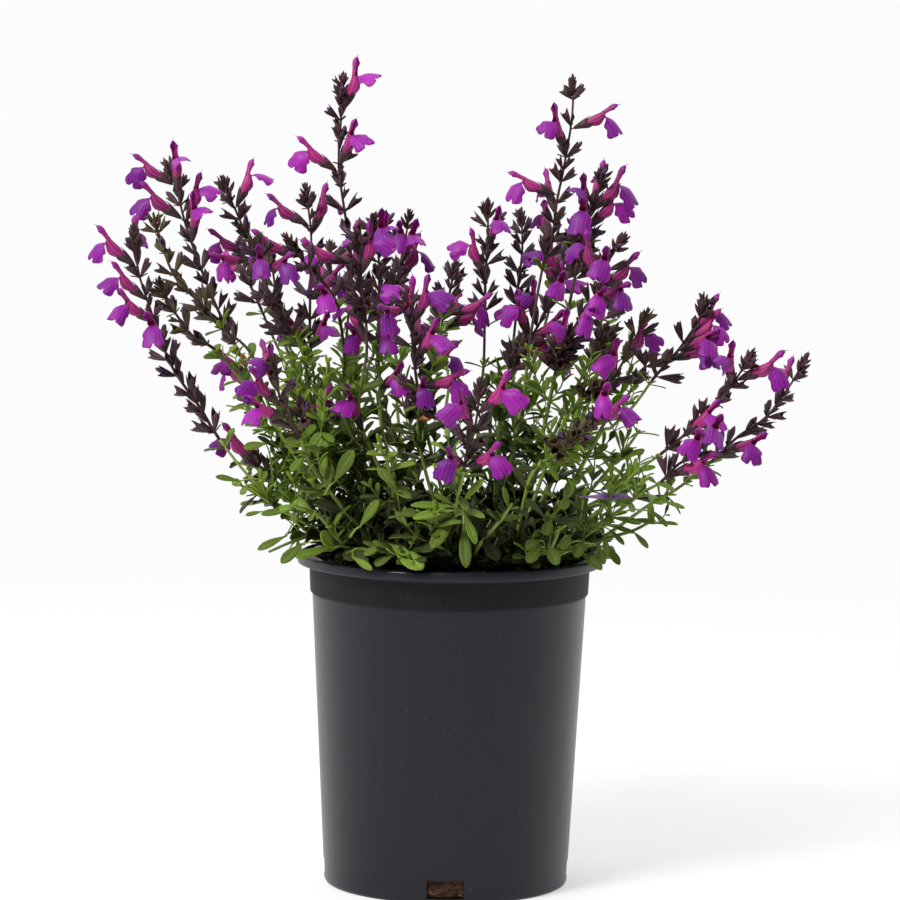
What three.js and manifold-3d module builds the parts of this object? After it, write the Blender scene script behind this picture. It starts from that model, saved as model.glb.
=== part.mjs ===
// Perennial salvia in a black nursery pot. Millimetres, +Z up, origin at the centre of the pot's base.
// The pot, its soil, the green leafy clumps and each dark flower spike are separate closed solids.

import * as THREE from 'three';
import { mergeVertices } from 'three/addons/utils/BufferGeometryUtils.js';
import Module from 'manifold-3d';

const wasm = await Module();
wasm.setup();

// ---------- driving dimensions (mm) ----------

const GAP = 0.3; // air kept between neighbouring solids
const SMOOTHING = [0.08, 0.02, 0.005, 0]; // steps flatter than this are smoothed away, most first
const PINCH = 1e-3; // corners this close together would pinch a body to a point

const POT = {
  sides: 24,
  height: 185,
  baseRadius: 68.2,
  baseBevel: 2,
  wall: 1.5,
  floor: 2.2,
  stepHeight: 163.4, // where the body widens into the collar
  bodyTopRadius: 76.5,
  collarRadius: 77.7,
  collarTopRadius: 78.6,
  lipRadius: 85,
  lipDepth: 5,
  lipThickness: 1.8,
  holeWidth: 20.5,
  holeBottom: 3,
  holeTop: 13.3,
  holeCount: 4,
};

const SOIL = {
  crown: 181, // height at the middle
  edge: 176, // height at the pot wall
  rings: [0.5],
  socketDepth: 22,
  socketSides: 6,
};

const STEM = {
  trunkRadius: 2.3,
  trunkTop: 9, // how far the short trunk stands out of the soil
  footRadius: 1.5,
  endRadius: 1,
  sides: 4,
  step: 44, // length of one straight stretch
};

const SPIKE = { footRadius: 1, tipRadius: 0.6, sides: 4, step: 36 };

const LEAF = {
  spacing: 15, // between the leaf pairs of a shoot
  solidEvery: 6, // every sixth pair is in the solids
  longest: 23,
  shortest: 12,
  thickness: 1.3,
  lowest: 188, // no leaves below this height, inside the pot
};

const CALYX = { spacing: 13, solidEvery: 3, length: 14, radius: 2.5 };
const TUFT = { length: 9, radius: 2.8 };

const FINISHES = {
  pot: { color: '#323237', roughness: 0.42, metalness: 0 },
  soil: { color: '#3a2a20', roughness: 0.95, metalness: 0 },
  leafy_clump: { color: '#5d7d36', roughness: 0.65, metalness: 0 },
  flower_spike: { color: '#7a2390', roughness: 0.6, metalness: 0 },
};

// ---------- layout, chosen by hand ----------
// Each clump stands on the soil at its root (x, y) and divides into shoots. A shoot's green stem runs
// through the stem places, and its flower spike goes on through the spike places to the tip.
// A bloom is [place along the spike 0..1, compass turn in degrees from +X, lift off the stem in degrees].

const CLUMPS = [
  { root: [-50, -15], shoots: [
    { stem: [[-62, -8, 184], [-83, -14, 201], [-109, -19, 226], [-128, -25, 250]],
      spike: [[-139, -26, 268], [-152, -27, 286], [-159, -28, 301], [-167, -28, 324],
        [-173, -29, 343], [-176, -30, 369]],
      blooms: [[0.84, 80, 30], [0.84, 190, 40], [0.68, 190, 30], [0.59, 215, 40], [0.51, -90, 55]] },
    { stem: [[-84, 10, 210], [-98, 5, 223]],
      spike: [[-104, 3, 229], [-109, 2, 235], [-112, 0, 242]],
      blooms: [[0.49, -150, 5]] },
    { stem: [[-101, 0, 259], [-120, -2, 284], [-132, -5, 298]],
      spike: [[-145, -6, 306], [-153, -8, 317], [-159, -9, 326], [-163, -10, 338]],
      blooms: [] },
    { stem: [[-69, -18, 197], [-85, -22, 194], [-100, -27, 188]] },
    { stem: [[-83, -20, 205], [-104, -25, 218], [-117, -30, 226]] },
  ] },
  { root: [-42, 15], shoots: [
    { stem: [[-85, 20, 229], [-107, 28, 267], [-121, 35, 294]],
      spike: [[-136, 38, 324], [-150, 40, 360], [-156, 42, 381], [-162, 45, 399]],
      blooms: [[0.82, 180, 40], [0.74, -60, 28], [0.57, 185, 40], [0.55, -20, 40], [0.45, -50, 40]] },
    { stem: [[-94, 25, 245], [-112, 22, 292], [-131, 20, 309]],
      spike: [[-141, 21, 321], [-156, 22, 336], [-164, 24, 355], [-169, 25, 372]],
      blooms: [] },
    { stem: [[-85, 25, 211], [-107, 30, 227], [-122, 35, 231]] },
  ] },
  { root: [-30, 32], shoots: [
    { stem: [[-86, 50, 277], [-104, 55, 322], [-113, 60, 343]],
      spike: [[-116, 61, 352], [-119, 62, 359], [-124, 63, 371], [-128, 64, 379], [-133, 65, 392]],
      blooms: [[0.64, 10, 50], [0.06, 190, 50], [0.03, 215, 80]] },
    { stem: [[-79, 15, 252], [-87, 12, 287], [-92, 10, 301]],
      spike: [[-97, 10, 312], [-100, 10, 336], [-104, 10, 359]],
      blooms: [] },
  ] },
  { root: [-28, -8], shoots: [
    { stem: [[-72, -5, 248], [-82, -12, 296], [-87, -20, 306]],
      spike: [[-94, -22, 318], [-102, -25, 333], [-105, -28, 348], [-108, -30, 363]],
      blooms: [[0.64, -90, 50], [0.67, -50, 70]] },
    { stem: [[-67, -20, 233], [-75, -30, 251]],
      spike: [[-82, -32, 262], [-84, -35, 276]],
      blooms: [[0.42, 40, 80]] },
  ] },
  { root: [-36, -38], shoots: [
    { stem: [[-74, -60, 237], [-81, -95, 259]],
      spike: [[-89, -102, 272], [-93, -108, 288], [-96, -115, 303]],
      blooms: [[0.55, -170, 5], [0.4, 195, 25], [0.26, -135, 40]] },
    { stem: [[-57, -50, 195], [-72, -62, 213], [-87, -75, 220]] },
    { stem: [[-42, -66, 194], [-49, -71, 196], [-53, -76, 195]] },
  ] },
  { root: [-12, 14], shoots: [
    { stem: [[-55, 8, 230], [-60, 11, 252], [-60, 15, 292], [-58, 18, 325]],
      spike: [[-57, 19, 346], [-61, 20, 372], [-65, 20, 400], [-64, 21, 425], [-64, 22, 451]],
      blooms: [[0.83, -25, 25], [0.59, -45, 35], [0.57, 190, 50], [0.19, 195, 70]] },
    { stem: [[-68, 30, 233], [-76, 36, 267], [-80, 42, 292]],
      spike: [[-81, 44, 309], [-81, 46, 336], [-81, 48, 361], [-85, 50, 389]],
      blooms: [[0.78, 180, 55], [0.73, 30, 25], [0.4, -30, 55], [0.14, -120, 70]] },
  ] },
  { root: [-12, -14], shoots: [
    { stem: [[-56, -5, 260], [-60, -10, 299], [-64, -15, 324]],
      spike: [[-71, -16, 336], [-79, -18, 344], [-85, -19, 351], [-94, -20, 364]],
      blooms: [[0.73, 185, 30], [0.04, -100, 65]] },
    { stem: [[-49, -24, 256], [-47, -34, 300], [-48, -42, 323]],
      spike: [[-50, -46, 337], [-51, -48, 355], [-53, -50, 370]],
      blooms: [[0.4, 100, 20], [0.43, -20, 20]] },
    { stem: [[-37, -10, 249], [-40, -12, 283], [-41, -12, 303]],
      spike: [[-41, -10, 336], [-42, -8, 355], [-45, -6, 375]],
      blooms: [[0.55, -65, 35], [0.03, -130, 80], [0.03, -75, 80], [0.58, -80, 50]] },
  ] },
  { root: [0, -32], shoots: [
    { stem: [[-17, -35, 247], [-18, -50, 275]],
      spike: [[-21, -53, 298], [-23, -57, 320], [-26, -60, 336]],
      blooms: [[0.6, -10, 30], [0.52, 110, 5], [0.32, -40, 45], [0.1, -20, 80], [0.04, -80, 60]] },
    { stem: [[-27, -55, 210], [-32, -68, 233], [-36, -80, 251]] },
    { stem: [[-22, -62, 193], [-25, -69, 196], [-26, -76, 194]] },
  ] },
  { root: [4, 30], shoots: [
    { stem: [[-45, 35, 267], [-44, 38, 296], [-41, 40, 312]],
      spike: [[-37, 42, 324], [-33, 45, 333], [-29, 48, 349], [-25, 50, 375]],
      blooms: [[0.81, -100, 75], [0.66, -80, 40], [0.49, 0, 15]] },
    { stem: [[-15, 24, 257], [-11, 20, 291], [-7, 18, 310]],
      spike: [[-2, 17, 330], [1, 16, 348]],
      blooms: [[0.18, 0, 60]] },
  ] },
  { root: [12, -50], shoots: [
    { stem: [[3, -70, 212], [7, -105, 243]],
      spike: [[9, -112, 257], [13, -118, 271], [15, -125, 294]],
      blooms: [[0.05, -120, 45], [0.03, -30, 40], [0.55, -150, 40], [0.72, -30, 35]] },
    { stem: [[-5, -70, 197], [-10, -80, 208], [-14, -90, 219]] },
    { stem: [[16, -66, 198], [27, -76, 213], [33, -86, 223]] },
  ] },
  { root: [24, 42], shoots: [
    { stem: [[10, 30, 252], [17, 35, 280], [18, 40, 313]],
      spike: [[18, 42, 339], [19, 43, 356], [19, 45, 382]],
      blooms: [[0.61, -70, 35], [0.3, 180, 25]] },
    { stem: [[30, 45, 267], [34, 50, 296], [36, 55, 317]],
      spike: [[37, 58, 334], [39, 62, 352], [38, 65, 376]],
      blooms: [] },
    { stem: [[22, 40, 256], [26, 42, 273], [27, 45, 287]] },
  ] },
  { root: [24, 14], shoots: [
    { stem: [[38, 10, 260], [44, 12, 310], [50, 15, 346]],
      spike: [[55, 16, 362], [57, 17, 381], [61, 18, 402], [65, 19, 430], [65, 20, 452]],
      blooms: [[0.65, -130, 45], [0.74, 0, 60], [0.44, 180, 80], [0.33, 120, 35]] },
    { stem: [[27, 25, 258], [34, 30, 289], [40, 35, 298]],
      spike: [[45, 36, 305], [55, 38, 323], [64, 39, 337], [77, 40, 356]],
      blooms: [[0.32, -140, 50], [0.2, -150, 60], [0.7, -170, 60], [0.41, -100, 5]] },
  ] },
  { root: [38, -8], shoots: [
    { stem: [[60, 0, 300], [67, -2, 339], [71, -5, 359]],
      spike: [[73, -7, 372], [79, -8, 388], [84, -10, 403]],
      blooms: [[0.43, 100, 20], [0.43, -10, 25], [0.31, -130, 30], [0.19, 10, 40], [0.19, -100, 50]] },
    { stem: [[54, -20, 274], [57, -28, 291], [61, -35, 304]],
      spike: [[68, -38, 318], [76, -41, 330], [81, -44, 342], [86, -47, 356], [94, -50, 367]],
      blooms: [[0.56, 150, 50], [0.58, -105, 45], [0.33, -90, 50], [0.43, -55, 50],
        [0.49, 10, 30], [0.21, -85, 60]] },
    { stem: [[77, 10, 271], [80, 12, 291], [83, 15, 300]],
      spike: [[85, 15, 307], [87, 15, 315]],
      blooms: [] },
    { stem: [[60, -12, 240], [67, -16, 262], [75, -20, 288]] },
  ] },
  { root: [34, -36], shoots: [
    { stem: [[43, -60, 234], [53, -72, 247], [61, -85, 255]],
      spike: [[66, -90, 261], [74, -95, 266], [79, -100, 280]],
      blooms: [[0.66, -10, 15], [0.86, -90, 40]] },
    { stem: [[60, -20, 257], [71, -25, 274], [79, -30, 280]],
      spike: [[88, -32, 287], [98, -33, 305], [107, -35, 326]],
      blooms: [[0.32, -130, 55], [0.48, 0, 5]] },
    { stem: [[54, -55, 211], [65, -65, 229], [72, -75, 240]] },
    { stem: [[52, -60, 194], [57, -69, 202], [59, -78, 210]] },
  ] },
  { root: [50, 14], shoots: [
    { stem: [[80, -10, 250], [89, -8, 258], [101, -7, 270], [111, -5, 284]],
      spike: [[116, -4, 290], [127, -2, 303], [137, -1, 319], [141, 0, 331]],
      blooms: [[0.58, 0, 10], [0.5, -20, 20], [0.45, -60, 50], [0.36, -40, 40]] },
    { stem: [[84, 20, 254], [94, 25, 267], [101, 30, 275]],
      spike: [[106, 32, 283], [110, 33, 292], [114, 35, 301]],
      blooms: [] },
    { stem: [[84, 16, 226], [98, 18, 243], [106, 20, 254]] },
  ] },
  { root: [56, -26], shoots: [
    { stem: [[69, -25, 202], [87, -28, 218], [101, -32, 235], [115, -35, 246]],
      spike: [[128, -36, 257], [139, -37, 268], [149, -38, 279], [157, -39, 291], [165, -40, 305]],
      blooms: [[0.69, -140, 50], [0.74, -20, 35], [0.16, -100, 15]] },
    { stem: [[93, -50, 217], [104, -58, 227], [114, -65, 234]],
      spike: [[123, -68, 244], [133, -72, 251], [140, -75, 265]],
      blooms: [[0.65, -120, 60], [0.12, -35, 30], [0.7, -100, 35]] },
    { stem: [[78, -30, 189], [86, -32, 189], [93, -34, 186]] },
    { stem: [[83, -36, 198], [100, -40, 204], [112, -44, 211]] },
  ] },
  { root: [64, 2], shoots: [
    { stem: [[87, 10, 195], [111, 13, 212], [127, 17, 221], [146, 20, 236]],
      spike: [[153, 21, 243], [163, 22, 252], [176, 22, 261], [184, 23, 271],
        [192, 24, 283], [200, 25, 298]],
      blooms: [[0.61, 150, 20], [0.17, -60, 55]] },
    { stem: [[90, 20, 203], [102, 30, 213], [113, 40, 214]] },
  ] },
  { root: [-16, 54], shoots: [
    { stem: [[-70, 70, 241], [-97, 85, 285], [-111, 100, 313]],
      spike: [[-118, 108, 327], [-123, 117, 340], [-125, 125, 354]],
      blooms: [[0.49, 120, 35], [0.43, 40, 35]] },
    { stem: [[-53, 80, 246], [-62, 95, 291], [-69, 110, 319]],
      spike: [[-71, 118, 330], [-72, 127, 340], [-73, 135, 352]],
      blooms: [[0.63, 60, 45], [0.24, 120, 30]] },
    { stem: [[-30, 90, 245], [-33, 105, 285], [-37, 120, 307]],
      spike: [[-37, 128, 318], [-36, 137, 326], [-35, 145, 339]],
      blooms: [[0.2, 50, 25]] },
    { stem: [[-58, 100, 191], [-65, 112, 207], [-66, 125, 221]] },
    { stem: [[-18, 110, 190], [-18, 125, 206], [-21, 140, 217]] },
  ] },
  { root: [32, 62], shoots: [
    { stem: [[39, 80, 253], [51, 95, 298], [59, 110, 326]],
      spike: [[63, 117, 338], [68, 123, 349], [71, 130, 363]],
      blooms: [[0.6, 60, 45], [0.38, 110, 45]] },
    { stem: [[63, 90, 252], [80, 105, 286], [86, 120, 305]],
      spike: [[89, 130, 314], [90, 140, 322], [91, 150, 335]],
      blooms: [[0.62, 70, 45]] },
    { stem: [[-1, 100, 239], [-2, 115, 272], [-6, 130, 295]],
      spike: [[-8, 138, 303], [-8, 147, 311], [-7, 155, 324]],
      blooms: [[0.47, 30, 30]] },
    { stem: [[37, 84, 198], [44, 112, 212], [52, 136, 229]] },
    { stem: [[87, 85, 207], [98, 95, 217], [110, 105, 222]] },
  ] },
];

// ---------- helpers ----------

const UP = new THREE.Vector3(0, 0, 1);
const vec = (x, y, z) => new THREE.Vector3(x, y, z);
const radians = THREE.MathUtils.degToRad;

/** A repeatable random number 0..1 for a list of whole-number keys. */
function draw(...keys) {
  let h = 2166136261;
  for (const key of keys) {
    h = Math.imul(h ^ (key + 1), 16777619);
    h ^= h >>> 13;
    h = Math.imul(h, 1540483477);
    h ^= h >>> 15;
  }
  return (h >>> 0) / 4294967296;
}

/** Turns a closed geometry into a solid that can be joined and cut. */
function toSolid(geometry) {
  const bare = geometry.clone();
  bare.deleteAttribute('normal');
  bare.deleteAttribute('uv');
  const merged = mergeVertices(bare, 1e-4);
  const corners = [];
  const index = merged.index.array;
  for (let i = 0; i < index.length; i += 3) {
    const [a, b, c] = [index[i], index[i + 1], index[i + 2]];
    if (a !== b && b !== c && c !== a) corners.push(a, b, c);
  }
  return new wasm.Manifold(new wasm.Mesh({
    numProp: 3,
    vertProperties: new Float32Array(merged.attributes.position.array),
    triVerts: new Uint32Array(corners),
  }));
}

/** The largest body of a solid, without loose scraps, smoothed by a tolerance. */
function smoothed(solid, tolerance) {
  const bodies = solid.asOriginal().simplify(tolerance).decompose();
  return bodies.sort((a, b) => b.volume() - a.volume())[0].getMesh();
}

/** Whether no two corners of a mesh share one place. */
function isUnpinched({ vertProperties }) {
  const places = new Set();
  for (let i = 0; i < vertProperties.length; i += 3) {
    places.add(Array.from(vertProperties.slice(i, i + 3), (value) => Math.round(value / PINCH)).join());
  }
  return places.size === vertProperties.length / 3;
}

/** A solid as a named mesh, as smooth as it can be without pinching. */
function toMesh(name, solid, finish) {
  const tries = SMOOTHING.map((tolerance) => smoothed(solid, tolerance));
  const { vertProperties, triVerts } = tries.find(isUnpinched) ?? tries.at(-1);
  const geometry = new THREE.BufferGeometry();
  geometry.setAttribute('position', new THREE.BufferAttribute(vertProperties, 3));
  geometry.setIndex(new THREE.BufferAttribute(triVerts, 1));
  geometry.computeVertexNormals();
  const mesh = new THREE.Mesh(geometry, new THREE.MeshStandardMaterial(finish));
  mesh.name = name;
  return mesh;
}

/** A closed geometry from points and faces: point numbers, clockwise as seen from outside. */
function closedShape(points, faces) {
  const geometry = new THREE.BufferGeometry().setFromPoints(points);
  const index = [];
  for (const face of faces) {
    for (let i = 2; i < face.length; i += 1) index.push(face[0], face[i], face[i - 1]);
  }
  geometry.setIndex(index);
  return geometry;
}

/** The faces between two rings of point numbers, given in the same order. */
function band(lower, upper) {
  return lower.map((corner, i) => {
    const next = (i + 1) % lower.length;
    return [corner, lower[next], upper[next], upper[i]];
  });
}

/** The faces from one point to a ring, on the near side of the ring. */
function fan(point, ring) {
  return ring.map((corner, i) => [point, ring[(i + 1) % ring.length], corner]);
}

/** A closed solid of revolution about Z through [radius, height] places. */
function turned(profile, sides) {
  const points = profile.map(([radius, height]) => new THREE.Vector2(radius, height));
  return new THREE.LatheGeometry(points, sides).rotateX(Math.PI / 2);
}

/** The matrix of something that grows from a place on a stem, turned and lifted off it. */
function growth(place, along, turn, lift) {
  const aside = vec(Math.cos(turn), Math.sin(turn), 0);
  aside.addScaledVector(along, -aside.dot(along)).normalize();
  const forward = along.clone().multiplyScalar(Math.cos(lift)).addScaledVector(aside, Math.sin(lift));
  const upper = along.clone().addScaledVector(UP, 0.6);
  upper.addScaledVector(forward, -upper.dot(forward)).normalize();
  const left = upper.clone().cross(forward);
  return new THREE.Matrix4().makeBasis(forward, left, upper).setPosition(place);
}

/** Straight stretches along a part of a curve: the place and the direction at any t, 0..1. */
function pathAlong(curve, from, to, step, clearance = 0) {
  const spot = (t) => THREE.MathUtils.lerp(from, to, t);
  const count = 40;
  const fine = Array.from({ length: count + 1 }, (_, i) => curve.getPoint(spot(i / count)));
  const length = fine.slice(1).reduce((sum, place, i) => sum + place.distanceTo(fine[i]), 0);
  const stretches = Math.max(2, Math.round(length / step));
  const knots = Array.from({ length: stretches + 1 }, (_, i) => curve.getPoint(spot(i / stretches)));
  const along = (t) => curve.getTangent(spot(t));
  knots[0].addScaledVector(along(0), clearance);
  return {
    length,
    stretches,
    along,
    at(t) {
      const stretch = Math.min(Math.floor(t * stretches), stretches - 1);
      return knots[stretch].clone().lerp(knots[stretch + 1], t * stretches - stretch);
    },
  };
}

/** A tapered stem of few flat sides along a path. */
function taperedStem(path, startRadius, endRadius, sides) {
  const geometry = new THREE.CylinderGeometry(1, 1, 1, sides, path.stretches);
  const position = geometry.attributes.position;
  for (let i = 0; i < position.count; i += 1) {
    const t = position.getY(i) + 0.5;
    const radius = THREE.MathUtils.lerp(startRadius, endRadius, t);
    const along = path.along(t);
    const side = vec(0, 1, 0).cross(along).normalize();
    const place = path.at(t);
    place.addScaledVector(side, position.getX(i) * radius);
    place.addScaledVector(along.cross(side), position.getZ(i) * -radius);
    position.setXYZ(i, place.x, place.y, place.z);
  }
  return geometry;
}

// ---------- pot and soil ----------

const innerRadius = (height) => THREE.MathUtils.mapLinear(
  height, 0, POT.stepHeight, POT.baseRadius, POT.bodyTopRadius,
) - POT.wall;

function buildPot() {
  const lipBottom = POT.height - POT.lipDepth;
  const lipInside = POT.lipRadius - POT.lipThickness;
  const underLip = POT.height - POT.lipThickness;
  const shell = turned([
    [0, 0],
    [POT.baseRadius - POT.baseBevel, 0],
    [POT.baseRadius, POT.baseBevel],
    [POT.bodyTopRadius, POT.stepHeight],
    [POT.collarRadius, POT.stepHeight],
    [POT.collarTopRadius, underLip],
    [lipInside, underLip],
    [lipInside, lipBottom],
    [POT.lipRadius, lipBottom],
    [POT.lipRadius, POT.height - 1.2],
    [POT.lipRadius - 1.2, POT.height],
    [POT.collarTopRadius - POT.wall, POT.height],
    [POT.collarRadius - POT.wall, POT.stepHeight + 0.8],
    [innerRadius(POT.stepHeight - 1.5), POT.stepHeight - 1.5],
    [innerRadius(POT.floor), POT.floor],
    [0, POT.floor],
  ], POT.sides);
  const holeHeight = POT.holeTop - POT.holeBottom;
  const cuts = [];
  for (let i = 0; i < POT.holeCount; i += 1) {
    const cutter = new THREE.BoxGeometry(20, POT.holeWidth, holeHeight);
    cutter.translate(POT.baseRadius, 0, POT.holeBottom + holeHeight / 2);
    cutter.rotateZ((i * 2 * Math.PI) / POT.holeCount);
    cuts.push(toSolid(cutter));
  }
  return toSolid(shell).subtract(wasm.Manifold.union(cuts));
}

const soilRadius = innerRadius(SOIL.edge) - 0.9;
const soilHeight = (radius) => SOIL.crown - (SOIL.crown - SOIL.edge) * (radius / soilRadius) ** 2;

function buildSoil(roots) {
  const clear = GAP + 0.1;
  const wallTop = POT.stepHeight - 1.5;
  const body = turned([
    [0, POT.floor + GAP],
    [innerRadius(POT.floor) - clear, POT.floor + GAP],
    [innerRadius(wallTop) - clear, wallTop],
    [soilRadius, SOIL.edge],
    ...SOIL.rings.map((share) => [soilRadius * (1 - share), soilHeight(soilRadius * (1 - share))]),
    [0, SOIL.crown],
  ], POT.sides);
  const socketRadius = (STEM.trunkRadius + GAP) / Math.cos(Math.PI / SOIL.socketSides);
  const sockets = roots.map(([x, y]) => {
    const bottom = soilHeight(Math.hypot(x, y)) - SOIL.socketDepth;
    const socket = new THREE.CylinderGeometry(socketRadius, socketRadius, 60, SOIL.socketSides);
    return toSolid(socket.rotateX(Math.PI / 2).translate(x, y, bottom + 30));
  });
  return toSolid(body).subtract(wasm.Manifold.union(sockets));
}

// ---------- what grows on the stems ----------
// Each shape is drawn with its root at the origin, forward along +X, its left along +Y, upper side +Z.

/** A leaf: widest past its middle, slightly cupped and arched, thick along the midrib. */
function leafShape(length, width, arch) {
  const drop = (x) => -arch * length * (x / length) ** 2;
  const edge = (share, half, side) => vec(
    share * length, side * half * width, drop(share * length) + 0.12 * half * width,
  );
  const middle = 0.55 * length;
  return closedShape([
    vec(0, 0, 0),
    edge(0.36, 0.33, 1), edge(0.74, 0.5, 1), vec(length, 0, drop(length)),
    edge(0.74, 0.5, -1), edge(0.36, 0.33, -1),
    vec(middle, 0, drop(middle) + LEAF.thickness / 2),
    vec(middle, 0, drop(middle) - LEAF.thickness / 2),
  ], [...fan(6, [5, 4, 3, 2, 1, 0]), ...fan(7, [0, 1, 2, 3, 4, 5])]);
}

/** An empty calyx: a three-sided bell on its short stalk, with one upper and two lower teeth. */
function calyxShape(length, radius) {
  const waist = 0.45 * length;
  return closedShape([
    vec(0, 0, 0),
    vec(waist, 0, 0.75 * radius), vec(waist, 0.68 * radius, -0.4 * radius),
    vec(waist, -0.68 * radius, -0.4 * radius),
    vec(length, 0, 1.35 * radius), vec(0.93 * length, 0.95 * radius, -0.75 * radius),
    vec(0.93 * length, -0.95 * radius, -0.75 * radius),
    vec(0.72 * length, 0, 0),
  ], [...fan(0, [1, 2, 3]), ...band([1, 2, 3], [4, 5, 6]), ...fan(7, [6, 5, 4])]);
}

/** The tuft of young buds at a spike's tip: four points that spread round a hollow. */
function tuftShape(length, radius) {
  const ring = (forward, reach, from) => [0, 1, 2, 3].map((i) => {
    const angle = from + (i * Math.PI) / 2;
    return vec(forward, reach * Math.sin(angle), reach * Math.cos(angle));
  });
  return closedShape([
    vec(-0.9 * length, 0, 0), ...ring(-0.3 * length, 0.8 * radius, 0),
    ...ring(0.2 * length, 1.2 * radius, 0), vec(0.05 * length, 0, 0),
  ], [...fan(0, [1, 2, 3, 4]), ...band([1, 2, 3, 4], [5, 6, 7, 8]), ...fan(9, [8, 7, 6, 5])]);
}

/** A bloom in its calyx: bell, swollen tube, forward hood, and a broad hanging lip with four lobes. */
function bloomShape(size) {
  const points = [
    [0, 0, 0], // stalk, in the stem
    [14.2, 0, 3], [12.5, 2.5, -0.5], [11.6, 0, -2.8], [12.5, -2.5, -0.5], // calyx mouth and teeth
    [16.8, 0, 2.7], [16.8, 2.6, -0.6], [16.8, 0, -3.9], [16.8, -2.6, -0.6], // swollen belly
    [21.6, 0, 3.1], [21.6, 1.9, 1.2], [21.2, 0, -0.6], [21.6, -1.9, 1.2], // throat
    [28.2, 0, 5], [28.6, 1.9, 2.4], [28.6, -1.9, 2.4], // hood
    [31.8, 0, 3.6], // hood tip
    [23.6, 4.6, -3.8], [24.2, 6.5, -11.6], [25.4, 0, -10.8], // left side lobe, left lobe, notch
    [24.2, -6.5, -11.6], [23.6, -4.6, -3.8], // right lobe, right side lobe
    [25.7, 0, -3.6], [23, 0, -4.8], // front and back of the lip
  ].map(([x, y, z]) => vec(x, y, z).multiplyScalar(size));
  const [mouth, belly] = [[1, 2, 3, 4], [5, 6, 7, 8]];
  const [top, left, bottom, right] = [9, 10, 11, 12];
  const hood = [13, 14, 15];
  const lobes = [17, 18, 19, 20, 21];
  return closedShape(points, [
    ...fan(0, mouth), ...band(mouth, belly), ...band(belly, [top, left, bottom, right]),
    ...band([top, left, right], hood), ...fan(16, [...hood].reverse()),
    ...fan(22, [right, left, ...lobes].reverse()), ...fan(23, [...lobes, right, bottom, left]),
  ]);
}

// ---------- clearance between the solids ----------

const grown = []; // every shape placed so far: { node, twig, solid, box }

function boxesMeet(a, b) {
  return [0, 1, 2].every((k) => a.min[k] - GAP < b.max[k] && b.min[k] - GAP < a.max[k]);
}

/** Whether a shape keeps its air to all other nodes, and touches nothing in its own but its twig. */
function isClear(node, twig, solid) {
  const box = solid.boundingBox();
  return grown.every((other) => {
    if (other.twig === twig || !boxesMeet(box, other.box)) return true;
    return solid.minGap(other.solid, 2 * GAP) >= (other.node === node ? GAP / 3 : GAP);
  });
}

/** Places a solid that has to stand. */
function keep(node, twig, solid) {
  grown.push({ node, twig, solid, box: solid.boundingBox() });
}

/** Places a pair of shapes on a twig; one that would crowd something else is left out. */
function growPair(node, twig, geometries) {
  const clear = geometries.map(toSolid).filter((solid) => isClear(node, twig, solid));
  clear.forEach((solid, i) => keep(node, `${twig}+${i}`, solid));
}

// ---------- growing the plant ----------

const label = (name, number) => `${name}_${String(number).padStart(2, '0')}`;

const shoots = [];
CLUMPS.forEach(({ root, shoots: list }, clump) => {
  const foot = [...root, soilHeight(Math.hypot(...root)) + STEM.trunkTop - 2];
  for (const { stem, spike = [], blooms = [] } of list) {
    const places = [foot, ...stem, ...spike].map((place) => vec(...place));
    const curve = new THREE.CatmullRomCurve3(places, false, 'catmullrom', 0.5);
    const junction = stem.length / (stem.length + spike.length);
    shoots.push({
      clump: label('leafy_clump', clump + 1),
      number: shoots.length,
      stem: pathAlong(curve, 0, junction, STEM.step),
      spike: spike.length > 0 && pathAlong(curve, junction, 1, SPIKE.step, GAP + 0.05),
      blooms,
    });
  }
});

const flowering = shoots.filter((shoot) => shoot.spike);
flowering.forEach((shoot, i) => {
  shoot.node = label('flower_spike', i + 1);
});

function growStems() {
  CLUMPS.forEach(({ root }, clump) => {
    const ground = soilHeight(Math.hypot(...root));
    const bottom = ground - SOIL.socketDepth + GAP;
    const height = ground + STEM.trunkTop - bottom;
    const trunk = new THREE.CylinderGeometry(STEM.trunkRadius * 0.8, STEM.trunkRadius, height, 5);
    trunk.rotateX(Math.PI / 2).translate(root[0], root[1], bottom + height / 2);
    keep(label('leafy_clump', clump + 1), `trunk ${clump}`, toSolid(trunk));
  });
  for (const { stem, clump, number } of shoots) {
    const twig = taperedStem(stem, STEM.footRadius, STEM.endRadius, STEM.sides);
    keep(clump, `stem ${number}`, toSolid(twig));
  }
  for (const { spike, node, number } of flowering) {
    const rachis = taperedStem(spike, SPIKE.footRadius, SPIKE.tipRadius, SPIKE.sides);
    keep(node, `spike ${number}`, toSolid(rachis));
  }
}

function growBlooms() {
  for (const { node, spike, blooms, number } of flowering) {
    blooms.forEach(([t, turn, lift], i) => {
      const size = 0.92 + 0.14 * draw(number, i, 1);
      const bloom = bloomShape(size);
      bloom.applyMatrix4(growth(spike.at(t), spike.along(t), radians(turn), radians(lift)));
      keep(node, `bloom ${number} ${i}`, toSolid(bloom));
    });
  }
}

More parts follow.
